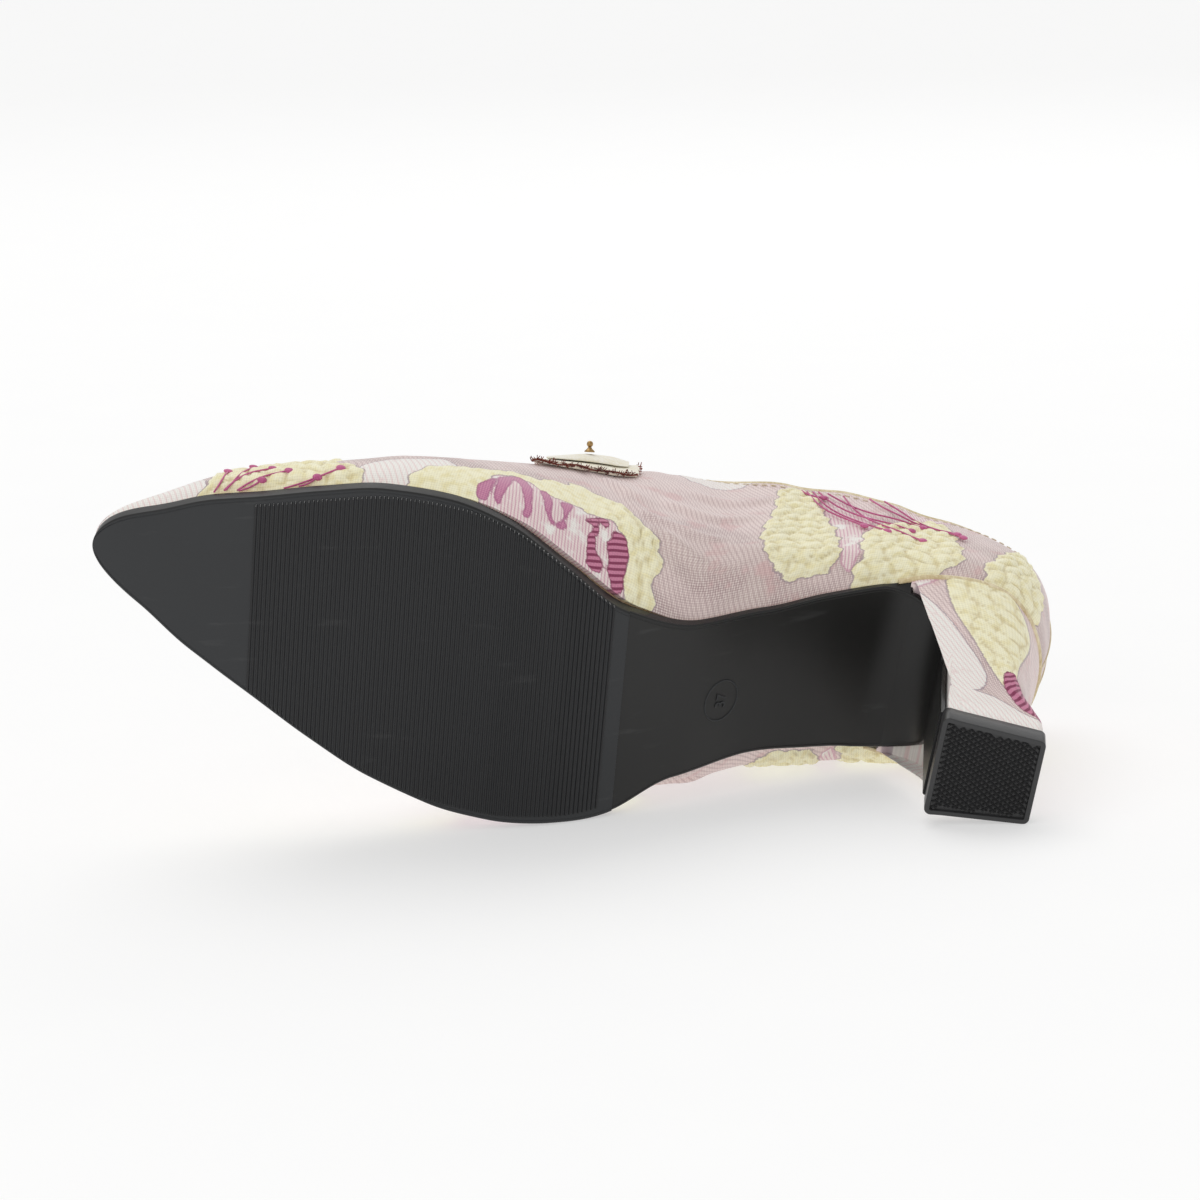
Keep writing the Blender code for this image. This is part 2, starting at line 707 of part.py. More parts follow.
def build_bow_knot(shape):
    """The small band over the bow's middle, between the roots of the loops."""
    base = 2.0 * CLEARANCE + RIBBON
    reach = BOW_LOOP_START - KNOT_GAP

    def top(across):
        return base + KNOT_HEIGHT * math.sqrt(max(1.0 - (across / reach) ** 2, KNOT_EDGE ** 2))

    band_rings(shape, reach, lambda across: base, top, lambda across: 0.5 * BOW_KNOT_WIDTH)


def bead_foot():
    """Point and outward direction on the medial loop's top, for the bead."""
    across = BOW_LOOP_START + (BOW_LOOP_REACH - BOW_LOOP_START) * BEAD_OUT
    upper_half = loop_ring(0.0)[:LOOP_STEPS // 2 + 1]
    swell = float(np.interp(BEAD_OUT, [out for out, _ in upper_half], [rise for _, rise in upper_half]))
    lift = 3.0 * CLEARANCE + RIBBON + 0.5 * LOOP_HEIGHT * (1.0 + swell)
    low = vamp_point(BOW_MIDDLE, across, lift)
    high = vamp_point(BOW_MIDDLE, across, lift + BEAD_CAP_HEIGHT)
    return low, (high - low).normalized()


def build_bow_bead(shape):
    """Tapered brass cap with a bead on its tip, standing on the medial loop."""
    low, outward = bead_foot()
    stand = outward.to_track_quat("Z", "Y").to_matrix().to_4x4()
    middle = BEAD_CAP_HEIGHT + BEAD_RADIUS * (1.0 - BEAD_SINK)
    profile = [(0.0, 0.0), (BEAD_CAP_RADIUS, 0.0), (0.5 * BEAD_RADIUS, BEAD_CAP_HEIGHT)]
    for i in range(1, BEAD_STEPS):
        angle = math.pi * (BEAD_NECK + (1.0 - BEAD_NECK) * i / BEAD_STEPS)
        profile.append((BEAD_RADIUS * math.sin(angle), middle - BEAD_RADIUS * math.cos(angle)))
    profile.append((0.0, middle + BEAD_RADIUS))
    rows = []
    for i in range(BEAD_SIDES):
        turn = 2.0 * math.pi * i / BEAD_SIDES
        ring = [Vector((radius * math.cos(turn), radius * math.sin(turn), z)) for radius, z in profile]
        rows.append([low + stand @ point for point in ring])
    verts = add_rows(shape, rows)
    for first, second in zip(verts, verts[1:] + verts[:1]):
        quads(shape, first, second)


def make_piece(name, build, material):
    return new_object(name, new_mesh(name, build), material)


def volume_and_centre(points, triangles):
    corners = points[triangles]
    parts = np.einsum("ij,ij->i", corners[:, 0], np.cross(corners[:, 1], corners[:, 2])) / 6.0
    volume = parts.sum()
    return volume, (corners.sum(axis=1) / 4.0 * parts[:, None]).sum(axis=0) / volume


def evaluated_points(obj):
    graph = bpy.context.evaluated_depsgraph_get()
    mesh = obj.evaluated_get(graph).to_mesh()
    mesh.calc_loop_triangles()
    points = np.array([obj.matrix_world @ vertex.co for vertex in mesh.vertices])
    triangles = np.array([triangle.vertices for triangle in mesh.loop_triangles])
    obj.evaluated_get(graph).to_mesh_clear()
    return points, triangles


def lying_turn(objects):
    """Turn that lays the shoe on the flat side of its hull that its balance point lies over."""
    mass = 0.0
    balance = np.zeros(3)
    hull = bmesh.new()
    for obj in objects:
        points, triangles = evaluated_points(obj)
        volume, centre = volume_and_centre(points, triangles)
        weight = volume * DENSITIES[obj.name]
        mass += weight
        balance += weight * centre
        for point in points:
            hull.verts.new(point)
    balance = Vector(balance / mass)
    result = bmesh.ops.convex_hull(hull, input=hull.verts)
    faces = [item for item in result["geom"] if isinstance(item, bmesh.types.BMFace)]
    middle = sum((vertex.co for vertex in hull.verts), Vector()) / len(hull.verts)
    down = None
    for face in faces:
        face.normal_update()
        normal = face.normal.copy()
        if normal.dot(face.calc_center_median() - middle) < 0.0:
            normal.negate()
        if normal.y > -0.7:
            continue
        spot = balance - normal * normal.dot(balance - face.verts[0].co)
        turns = []
        for first, second in zip(face.verts, list(face.verts[1:]) + [face.verts[0]]):
            turns.append((second.co - first.co).cross(spot - first.co).dot(normal))
        if min(turns) >= 0.0 or max(turns) <= 0.0:
            down = normal
    hull.free()
    toe = Vector((1.0, 0.0, 0.0))
    up = -down
    left = (toe - up * toe.dot(up)).normalized()
    front = left.cross(up)
    turn = Matrix((-left, front, up))
    return turn.to_4x4(), mass


def lay_down(objects, holder):
    turn, mass = lying_turn(objects)
    points = np.concatenate([evaluated_points(obj)[0] for obj in objects])
    turned = points @ np.array(turn.to_3x3()).T
    low = turned.min(axis=0)
    high = turned.max(axis=0)
    middle = 0.5 * (low + high)
    holder.matrix_world = Matrix.Translation((-middle[0], -middle[1], -low[2])) @ turn
    bpy.context.view_layer.update()
    return mass


def make_shoe():
    rubber = new_material("sole_rubber", (0.012, 0.012, 0.014), 0.42)
    cloth = new_material("jacquard_cloth", (0.72, 0.55, 0.56), 0.78)
    lining = new_material("sock_lining", (0.72, 0.64, 0.54), 0.70)
    ribbon = new_material("bow_cloth", (0.78, 0.70, 0.52), 0.75)
    brass = new_material("bead_brass", (0.70, 0.52, 0.24), 0.30, 1.0)
    pieces = [
        make_piece("outsole", build_outsole, rubber),
        make_piece("heel_block", build_heel_block, cloth),
        make_top_piece(rubber),
        make_upper(cloth),
        make_piece("insole", build_insole, lining),
        make_piece("bow_tail", build_bow_tail, ribbon),
        make_piece("bow_loop_medial", lambda shape: build_bow_loop(shape, 1), ribbon),
        make_piece("bow_loop_lateral", lambda shape: build_bow_loop(shape, -1), ribbon),
        make_piece("bow_knot", build_bow_knot, ribbon),
        make_piece("bow_bead", build_bow_bead, brass),
    ]
    holder = bpy.data.objects.new("shoe", None)
    COLLECTION.objects.link(holder)
    for piece in pieces:
        piece.parent = holder
    bpy.context.view_layer.update()
    return lay_down(pieces, holder)


clear_scene()
COLLECTION = bpy.data.collections.new("high_heeled_shoe")
bpy.context.scene.collection.children.link(COLLECTION)
MASS = make_shoe()
print("solid mass in kg:", round(MASS, 3))
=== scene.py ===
# Looks of a right court shoe that lies on its side: cloth, sole, bow, light and camera
import math
import random
import bmesh
import bpy
import numpy as np
from mathutils import Matrix, Vector
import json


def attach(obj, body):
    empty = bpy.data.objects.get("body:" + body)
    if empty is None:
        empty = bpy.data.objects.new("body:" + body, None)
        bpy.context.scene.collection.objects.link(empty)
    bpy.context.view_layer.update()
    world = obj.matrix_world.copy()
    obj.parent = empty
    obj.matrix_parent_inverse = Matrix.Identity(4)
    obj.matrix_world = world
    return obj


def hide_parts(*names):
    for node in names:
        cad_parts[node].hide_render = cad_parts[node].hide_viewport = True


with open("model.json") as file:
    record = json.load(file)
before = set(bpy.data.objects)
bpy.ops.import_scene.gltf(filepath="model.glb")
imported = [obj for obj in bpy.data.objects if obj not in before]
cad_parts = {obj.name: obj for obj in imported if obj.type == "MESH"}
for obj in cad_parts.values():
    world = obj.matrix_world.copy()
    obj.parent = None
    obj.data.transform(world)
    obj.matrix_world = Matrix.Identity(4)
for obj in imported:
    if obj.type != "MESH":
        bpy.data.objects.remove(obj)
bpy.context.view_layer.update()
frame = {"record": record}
scene = bpy.context.scene

# Sizes of the standing shoe in metres: x from the counter to the toe, y to the medial side, z up
shoe = {
    "length": 0.236, "ballWidth": 0.081, "toeSwing": 0.017, "seatRise": 0.0532, "toeSpring": 0.005,
    "collarRise": 0.0435, "instepRise": 0.078, "throatReach": 0.106, "throatDepth": 0.045,
    "counterCurve": 0.0015, "toeRounding": 0.006, "wall": 0.0019, "featherTuck": 0.0005,
    "forefoot": 0.0030, "waist": 0.0018, "flap": 0.0012, "treadStep": 0.0005, "treadReach": 0.1050,
    "breastReach": 0.0465, "breastDrop": 0.0130, "gap": 0.0003,
    "wallTurn": 0.20, "counterPeak": 0.60, "toePeak": 0.15, "endShare": 0.25,
}

# along, swing, width, rise, spring of the sole, from the back to the toe
soleRows = np.array([
    (0.000, 0.00, 0.000, 1.000, 0.00), (0.022, 0.00, 0.405, 0.991, 0.00),
    (0.040, 0.00, 0.518, 0.983, 0.00), (0.066, 0.00, 0.598, 0.968, 0.00),
    (0.100, 0.00, 0.632, 0.945, 0.00), (0.140, 0.00, 0.618, 0.919, 0.00),
    (0.177, 0.00, 0.566, 0.880, 0.00), (0.242, -0.05, 0.529, 0.748, 0.00),
    (0.307, -0.15, 0.499, 0.583, 0.00), (0.372, -0.28, 0.525, 0.367, 0.00),
    (0.437, -0.34, 0.680, 0.188, 0.00), (0.502, -0.08, 0.852, 0.060, 0.00),
    (0.567, 0.20, 0.976, 0.008, 0.00), (0.632, 0.37, 1.000, 0.000, 0.00),
    (0.697, 0.50, 0.940, 0.000, 0.00), (0.762, 0.62, 0.806, 0.000, 0.00),
    (0.827, 0.75, 0.642, 0.000, 0.04), (0.892, 0.88, 0.477, 0.000, 0.22),
    (0.946, 0.98, 0.300, 0.000, 0.52), (0.984, 1.01, 0.164, 0.000, 0.82),
    (1.000, 1.00, 0.000, 0.000, 1.00),
])

# along, medial, lateral, ridge, collar, crown, open, full of the upper's sections
bodyRows = np.array([
    (0.000, 0.024, 0.024, 0.00, 1.00, 0.000, 0.56, 0.80), (0.066, 0.027, 0.032, 0.00, 0.98, 0.000, 0.67, 0.80),
    (0.140, 0.036, 0.075, 0.00, 0.96, 0.000, 0.82, 0.80), (0.195, 0.076, 0.115, 0.02, 0.94, 0.080, 0.90, 0.78),
    (0.258, 0.106, 0.127, 0.06, 0.74, 0.540, 0.91, 0.74), (0.335, 0.162, 0.125, 0.14, 0.34, 0.945, 0.91, 0.68),
    (0.403, 0.203, 0.095, 0.28, 0.06, 1.005, 0.90, 0.62), (0.450, 0.175, 0.066, 0.42, 0.00, 1.020, 0.90, 0.57),
    (0.502, 0.092, 0.046, 0.52, 0.00, 0.950, 0.90, 0.57), (0.567, 0.048, 0.037, 0.60, 0.00, 0.765, 0.90, 0.62),
    (0.632, 0.037, 0.037, 0.66, 0.00, 0.610, 0.90, 0.68), (0.724, 0.037, 0.037, 0.74, 0.00, 0.490, 0.90, 0.72),
    (0.817, 0.037, 0.037, 0.83, 0.00, 0.432, 0.90, 0.74), (0.875, 0.036, 0.036, 0.89, 0.00, 0.352, 0.90, 0.75),
    (0.920, 0.032, 0.032, 0.94, 0.00, 0.265, 0.90, 0.76), (0.946, 0.026, 0.026, 0.97, 0.00, 0.190, 0.90, 0.78),
    (0.975, 0.018, 0.018, 0.99, 0.00, 0.115, 0.90, 0.80), (1.000, 0.012, 0.012, 1.00, 0.00, 0.065, 0.90, 0.80),
])


def smoothThrough(knots, values, at):          # cubic through the knots that never overshoots them
    steps = np.diff(knots)
    slopes = np.diff(values) / steps
    tangents = np.zeros(len(knots))
    for i in range(1, len(knots) - 1):
        if slopes[i - 1] * slopes[i] > 0.0:
            before = 2.0 * steps[i] + steps[i - 1]
            after = steps[i] + 2.0 * steps[i - 1]
            tangents[i] = (before + after) / (before / slopes[i - 1] + after / slopes[i])
    tangents[0], tangents[-1] = slopes[0], slopes[-1]
    at = np.clip(at, knots[0], knots[-1])
    i = np.clip(np.searchsorted(knots, at) - 1, 0, len(steps) - 1)
    t = (at - knots[i]) / steps[i]
    rise = (3.0 - 2.0 * t) * t * t
    lean = t * (1.0 - t) ** 2 * steps[i] * tangents[i] - t * t * (1.0 - t) * steps[i] * tangents[i + 1]
    return values[i] + (values[i + 1] - values[i]) * rise + lean


def soleValue(column, along):
    return smoothThrough(soleRows[:, 0], soleRows[:, column], along)


def bodyValue(column, along):
    return smoothThrough(bodyRows[:, 0], bodyRows[:, column], along)


def halfWidth(along):                          # half the sole's plan width, round at both ends
    knots = soleRows[1:-1, 0]
    fullness = soleRows[1:-1, 2] / (2.0 * np.sqrt(knots * (1.0 - knots)))
    along = np.clip(along, 0.0, 1.0)
    return shoe["ballWidth"] * smoothThrough(knots, fullness, along) * np.sqrt(along * (1.0 - along))


def swing(along):
    return shoe["toeSwing"] * soleValue(1, along)


def backAt(height):
    return shoe["counterCurve"] * ((height - shoe["counterPeak"]) / (1.0 - shoe["counterPeak"])) ** 2


def frontAt(height):
    return shoe["length"] - shoe["toeRounding"] * ((height - shoe["toePeak"]) / (1.0 - shoe["toePeak"])) ** 2


def planX(along, height=0.0):
    return backAt(height) + (frontAt(height) - backAt(height)) * along


def planAlong(x):
    return (x - planX(0.0)) / (planX(1.0) - planX(0.0))


def underside(x):
    along = planAlong(x)
    return shoe["seatRise"] * soleValue(3, along) + shoe["toeSpring"] * soleValue(4, along)


def soleThickness(x):
    share = np.clip((x - shoe["breastReach"]) / (shoe["treadReach"] - shoe["breastReach"]), 0.0, 1.0)
    return shoe["waist"] + (shoe["forefoot"] - shoe["waist"]) * share * share


def footbed(x):
    slope = (underside(x + 1e-4) - underside(x - 1e-4)) / 2e-4
    return underside(x) + soleThickness(x) * np.sqrt(1.0 + slope * slope)


def topAngle(along):                           # a right angle where the section closes over the crown
    x = planX(along, 1.0)
    behind = np.clip((shoe["throatReach"] - x) / shoe["throatDepth"], 0.0, 1.0)
    inside = (x - backAt(1.0)) / (frontAt(1.0) - backAt(1.0))
    share = bodyValue(6, inside) * np.sqrt(1.0 - (1.0 - behind) ** 2)
    return np.arccos(np.clip(share, 0.0, 1.0) ** (1.0 / bodyValue(7, along)))


tableAlong = np.linspace(0.0, 1.0, 4001)
sections = {
    "half": halfWidth(tableAlong), "swing": swing(tableAlong), "bed": footbed(planX(tableAlong)),
    "medial": bodyValue(1, tableAlong), "lateral": bodyValue(2, tableAlong),
    "ridge": shoe["toeSwing"] * bodyValue(3, tableAlong), "collar": bodyValue(4, tableAlong),
    "crown": bodyValue(5, tableAlong), "full": bodyValue(7, tableAlong), "top": topAngle(tableAlong),
}


def section(name, along):
    return np.interp(along, tableAlong, sections[name])


def upperPoint(along, step, side):             # step 0 on the sole's edge, 1 on the collar or the crown
    along, step, side = np.broadcast_arrays(np.asarray(along, float), step, side)
    top = section("top", along)
    angle = step * top
    height = np.sin(angle) / np.sin(top)
    half = section("half", along)
    ends = np.minimum(1.0, half / (shoe["endShare"] * shoe["ballWidth"]))
    edge = np.maximum(half - shoe["featherTuck"] * ends, 0.0)
    turn = np.sin(0.5 * np.pi * np.minimum(height / shoe["wallTurn"], 1.0))
    bulge = np.where(side > 0, section("medial", along), section("lateral", along))
    wall = edge + shoe["ballWidth"] * bulge * turn * ends
    ridge = section("ridge", along)
    base = section("swing", along)
    reach = (base + side * wall - ridge) * np.cos(angle) ** section("full", along)
    rise = shoe["collarRise"] * section("collar", along)
    rise = rise + shoe["instepRise"] * section("crown", along) * np.sin(top)
    y = np.where(half < 1e-4, base + (ridge - base) * height, ridge + reach)
    z = section("bed", along) + shoe["gap"] + rise * height
    return np.stack([planX(along, height), y, z], axis=-1)


def upperNormal(along, step, side):
    d = 2e-3
    a0, a1 = np.clip(along - d, 0.0, 1.0), np.clip(along + d, 0.0, 1.0)
    s0, s1 = np.clip(step - d, 0.0, 1.0), np.clip(step + d, 0.0, 1.0)
    forward = upperPoint(a1, step, side) - upperPoint(a0, step, side)
    rise = upperPoint(along, s1, side) - upperPoint(along, s0, side)
    out = np.cross(rise, forward) * np.where(side > 0, 1.0, -1.0)[..., None]
    return out / np.maximum(np.linalg.norm(out, axis=-1, keepdims=True), 1e-12)


# Chart of the cloth in millimetres: round the shoe from the back seam, and over it from the medial edge
chartAlong = np.linspace(0.0, 1.0, 601)
chartSteps = np.linspace(0.0, 1.0, 121)


def girths(side):
    grid = upperPoint(chartAlong[:, None], chartSteps[None, :], float(side))
    lengths = np.linalg.norm(np.diff(grid, axis=1), axis=-1)
    return np.concatenate([np.zeros((len(chartAlong), 1)), np.cumsum(lengths, axis=1)], axis=1) * 1000.0


def roundLengths():
    ring = upperPoint(chartAlong, 0.35, 1.0)
    return np.concatenate([[0.0], np.cumsum(np.linalg.norm(np.diff(ring[:, :2], axis=0), axis=1))]) * 1000.0


girthMedial, girthLateral = girths(1), girths(-1)
chartRound = roundLengths()
edgeGap = np.linalg.norm(upperPoint(chartAlong, 1.0, 1.0) - upperPoint(chartAlong, 1.0, -1.0), axis=-1) * 1000.0
chartTotal = girthMedial[:, -1] + girthLateral[:, -1] + edgeGap


def chartOf(along, step, side):                # along, step, side to chart
    place = np.asarray(along) * (len(chartAlong) - 1)
    low = np.clip(place.astype(int), 0, len(chartAlong) - 2)
    part = place - low
    col = np.asarray(step) * (len(chartSteps) - 1)
    left = np.clip(col.astype(int), 0, len(chartSteps) - 2)
    share = col - left
    table = girthMedial if side > 0 else girthLateral
    first = table[low, left] * (1 - share) + table[low, left + 1] * share
    second = table[low + 1, left] * (1 - share) + table[low + 1, left + 1] * share
    girth = first * (1 - part) + second * part
    if side < 0:
        girth = np.interp(along, chartAlong, chartTotal) - girth
    return np.interp(along, chartAlong, chartRound), girth


def fromChart(u, v):                           # chart to along, step, side, one point at a time
    along = float(np.interp(u, chartRound, chartAlong))
    index = min(int(round(along * (len(chartAlong) - 1))), len(chartAlong) - 1)
    medial = girthMedial[index, -1]
    if v <= medial + 0.5 * edgeGap[index]:
        return along, float(np.interp(v, girthMedial[index], chartSteps)), 1.0
    return along, float(np.interp(chartTotal[index] - v, girthLateral[index], chartSteps)), -1.0
print("formulas and chart ready")


# The mounts tell how the standing shoe lies in the row's frame
standing = {"heelFace": 0.0168, "treadAhead": 0.1482, "treadAside": 0.007}


def lyingTurn():
    mounts = {mount["name"]: mount for mount in frame["record"]["mounts"]}
    heel, tread = mounts["heel_ground_face"], mounts["tread_ground_face"]
    up = -Vector(heel["axis"]).normalized()
    way = Vector(tread["pos_m"]) - Vector(heel["pos_m"])
    way = (way - up * way.dot(up)).normalized()
    ahead = Matrix.Rotation(-math.atan2(standing["treadAside"], standing["treadAhead"]), 3, up) @ way
    medial = up.cross(ahead)
    turn = Matrix((ahead, medial, up)).transposed()
    middle = Vector(heel["pos_m"]) - turn @ Vector((standing["heelFace"], 0.0, 0.0))
    return Matrix.Translation(middle) @ turn.to_4x4()


lying = lyingTurn()
lyingArray = np.array(lying)


def laid(points):                              # standing places to places in the row's frame
    points = np.asarray(points, float)
    return points @ lyingArray[:3, :3].T + lyingArray[:3, 3]


def laidWay(ways):
    return np.asarray(ways, float) @ lyingArray[:3, :3].T


# Small helpers for nodes and meshes
def addNode(tree, kind, inputs=None, **settings):
    node = tree.nodes.new(kind)
    for name, value in settings.items():
        setattr(node, name, value)
    for name, value in (inputs or {}).items():
        if isinstance(value, bpy.types.NodeSocket):
            tree.links.new(value, node.inputs[name])
        else:
            node.inputs[name].default_value = value
    return node


def mathOf(tree, operation, *values):
    return addNode(tree, "ShaderNodeMath", dict(enumerate(values)), operation=operation).outputs[0]


def mixOf(tree, share, first, second, blend="MIX"):
    node = addNode(tree, "ShaderNodeMix", data_type="RGBA", blend_type=blend)
    for index, value in ((0, share), (6, first), (7, second)):
        if isinstance(value, bpy.types.NodeSocket):
            tree.links.new(value, node.inputs[index])
        else:
            node.inputs[index].default_value = value if index == 0 else (*value, 1.0)
    return node.outputs[2]


def stepOf(tree, value, low, high):            # smooth step from low to high
    node = addNode(tree, "ShaderNodeMapRange", {"Value": value, "From Min": low, "From Max": high},
                   interpolation_type="SMOOTHSTEP")
    return node.outputs["Result"]


def shade(red, green, blue):                   # sRGB 0 to 255 to linear
    return tuple(((c / 255.0 + 0.055) / 1.055) ** 2.4 if c > 10 else c / 3294.6 for c in (red, green, blue))


def newMaterial(name, roughness=0.6, metallic=0.0, sheen=0.0, specular=0.5):
    material = bpy.data.materials.new(name)
    material.use_nodes = True
    tree = material.node_tree
    shader = tree.nodes["Principled BSDF"]
    shader.inputs["Roughness"].default_value = roughness
    shader.inputs["Metallic"].default_value = metallic
    shader.inputs["Sheen Weight"].default_value = sheen
    shader.inputs["Sheen Roughness"].default_value = 0.5
    shader.inputs["Specular IOR Level"].default_value = specular
    return material, tree, shader


def noiseOf(tree, where, scale, detail=2.0, stretch=None):
    if stretch:
        where = addNode(tree, "ShaderNodeMapping", {"Vector": where, "Scale": stretch}).outputs[0]
    return addNode(tree, "ShaderNodeTexNoise", {"Vector": where, "Scale": scale, "Detail": detail}).outputs[0]


def setBump(tree, shader, height, distance, strength=1.0):
    bump = addNode(tree, "ShaderNodeBump", {"Height": height, "Distance": distance, "Strength": strength})
    tree.links.new(bump.outputs[0], shader.inputs["Normal"])


weldReach = 2e-6                               # vertices closer than this become one


def newPiece(name, points, faces, materials, faceMaterials=None, smoothAngle=40.0, uv=None, attributes=None):
    mesh = bpy.data.meshes.new(name)
    mesh.from_pydata([tuple(p) for p in points], [], faces)
    for material in materials:
        mesh.materials.append(material)
    if uv is not None:
        corners = np.zeros(len(mesh.loops), dtype=np.int32)
        mesh.loops.foreach_get("vertex_index", corners)
        layer = mesh.uv_layers.new(name="chart")
        layer.data.foreach_set("uv", np.asarray(uv, dtype=np.float32)[corners].ravel())
    for label, values in (attributes or {}).items():
        attribute = mesh.attributes.new(label, "FLOAT", "POINT")
        attribute.data.foreach_set("value", np.asarray(values, dtype=np.float32))
    if faceMaterials is not None:
        mesh.polygons.foreach_set("material_index", np.asarray(faceMaterials, dtype=np.int32))
    shape = bmesh.new()
    shape.from_mesh(mesh)
    bmesh.ops.remove_doubles(shape, verts=shape.verts, dist=weldReach)
    bmesh.ops.dissolve_degenerate(shape, dist=0.5 * weldReach, edges=shape.edges)
    bmesh.ops.recalc_face_normals(shape, faces=shape.faces)
    shape.to_mesh(mesh)
    shape.free()
    mesh.shade_smooth()
    mesh.set_sharp_from_angle(angle=math.radians(smoothAngle))
    obj = bpy.data.objects.new(name, mesh)
    scene.collection.objects.link(obj)
    return obj


def finish(obj, slot, *nodes):                 # rides on the one body and stands for its nodes
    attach(obj, "root")
    if nodes:
        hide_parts(*nodes)
    return obj


def gridFaces(rows, columns, start=0, wrap=False, flip=False):
    faces = []
    for i in range(rows - 1):
        for j in range(columns if wrap else columns - 1):
            k = (j + 1) % columns
            face = (start + i * columns + j, start + i * columns + k,
                    start + (i + 1) * columns + k, start + (i + 1) * columns + j)
            faces.append(face[::-1] if flip else face)
    return faces


def ringBody(name, rings, material, slot, node, capped=True, smoothAngle=40.0):
    rows, columns = rings.shape[:2]
    faces = gridFaces(rows, columns, wrap=True)
    if capped:
        faces += [tuple(range(columns)), tuple(range((rows - 1) * columns, rows * columns))]
    finish(newPiece(name, laid(rings.reshape(-1, 3)), faces, [material], smoothAngle=smoothAngle), slot, node)


def closedSheet(name, top, bottom, material, slot, node):
    rows, columns = top.shape[:2]
    count = rows * columns
    faces = gridFaces(rows, columns) + gridFaces(rows, columns, start=count, flip=True)
    rim = list(range(columns)) + [i * columns + columns - 1 for i in range(1, rows)]
    rim += [(rows - 1) * columns + j for j in range(columns - 2, -1, -1)]
    rim += [i * columns for i in range(rows - 2, 0, -1)]
    for first, second in zip(rim, rim[1:] + rim[:1]):
        faces.append((second, first, count + first, count + second))
    points = laid(np.concatenate([top.reshape(-1, 3), bottom.reshape(-1, 3)]))
    finish(newPiece(name, points, faces, [material], smoothAngle=50.0), slot, node)


# Geometry Nodes: one tree runs a thread along edges, one sets a small shape on every point
def startTree(name, sockets):
    tree = bpy.data.node_groups.new(name, "GeometryNodeTree")
    tree.interface.new_socket(name="Geometry", in_out="OUTPUT", socket_type="NodeSocketGeometry")
    tree.interface.new_socket(name="Geometry", in_out="INPUT", socket_type="NodeSocketGeometry")
    keys = {}
    for label, kind, value in sockets:
        socket = tree.interface.new_socket(name=label, in_out="INPUT", socket_type=kind)
        if value is not None:
            socket.default_value = value
        keys[label] = socket.identifier
    return tree, keys, tree.nodes.new("NodeGroupInput"), tree.nodes.new("NodeGroupOutput")


def endTree(tree, geometry, given, out, soft=True):
    real = addNode(tree, "GeometryNodeRealizeInstances", {"Geometry": geometry}).outputs[0]
    smooth = addNode(tree, "GeometryNodeSetShadeSmooth", {"Geometry": real, "Shade Smooth": soft}).outputs[0]
    paint = addNode(tree, "GeometryNodeSetMaterial", {"Geometry": smooth, "Material": given.outputs["Material"]})
    tree.links.new(paint.outputs[0], out.inputs["Geometry"])


def threadTree():
    tree, keys, given, out = startTree("threadAlongEdges", [
        ("Radius", "NodeSocketFloat", 0.0002), ("Sides", "NodeSocketInt", 5),
        ("Material", "NodeSocketMaterial", None)])
    curve = addNode(tree, "GeometryNodeMeshToCurve", {"Mesh": given.outputs["Geometry"]}).outputs[0]
    ring = addNode(tree, "GeometryNodeCurvePrimitiveCircle", {"Resolution": given.outputs["Sides"],
                                                             "Radius": given.outputs["Radius"]}).outputs[0]
    tube = addNode(tree, "GeometryNodeCurveToMesh", {"Curve": curve, "Profile Curve": ring, "Fill Caps": True})
    endTree(tree, tube.outputs[0], given, out)
    return tree, keys


def layTree(name, kind, inputs, turn=(0.0, 0.0, 0.0), soft=True):
    tree, keys, given, out = startTree(name, [
        ("Size", "NodeSocketVector", (0.001, 0.001, 0.001)), ("Material", "NodeSocketMaterial", None)])
    shape = addNode(tree, kind, inputs).outputs["Mesh"]
    shape = addNode(tree, "GeometryNodeTransform", {"Geometry": shape, "Rotation": turn}).outputs[0]
    way, outward, grow = (addNode(tree, "GeometryNodeInputNamedAttribute", {"Name": label},
                                  data_type="FLOAT_VECTOR").outputs[0] for label in ("way", "outward", "grow"))
    first = addNode(tree, "FunctionNodeAlignRotationToVector", {"Vector": way}, axis="X").outputs[0]
    second = addNode(tree, "FunctionNodeAlignRotationToVector", {"Rotation": first, "Vector": outward},
                     axis="Z", pivot_axis="X").outputs[0]
    size = addNode(tree, "ShaderNodeVectorMath", {0: given.outputs["Size"], 1: grow},
                   operation="MULTIPLY").outputs[0]
    placed = addNode(tree, "GeometryNodeInstanceOnPoints", {
        "Points": given.outputs["Geometry"], "Instance": shape, "Rotation": second, "Scale": size}).outputs[0]
    endTree(tree, placed, given, out, soft)
    return tree, keys


def fromTree(name, rail, treeAndKeys, values, material, slot):
    tree, keys = treeAndKeys
    source = bpy.data.objects.new(name + "_rail", rail)
    scene.collection.objects.link(source)
    modifier = source.modifiers.new("nodes", "NODES")
    modifier.node_group = tree
    for label, value in dict(values, Material=material).items():
        modifier[keys[label]] = value
    graph = bpy.context.evaluated_depsgraph_get()
    mesh = bpy.data.meshes.new_from_object(source.evaluated_get(graph), depsgraph=graph)
    mesh.name = name
    for extra in ("way", "outward", "grow"):
        if extra in mesh.attributes:
            mesh.attributes.remove(mesh.attributes[extra])
    source.modifiers.remove(modifier)
    bpy.data.objects.remove(source, do_unlink=True)
    obj = bpy.data.objects.new(name, mesh)
    scene.collection.objects.link(obj)
    return finish(obj, slot)


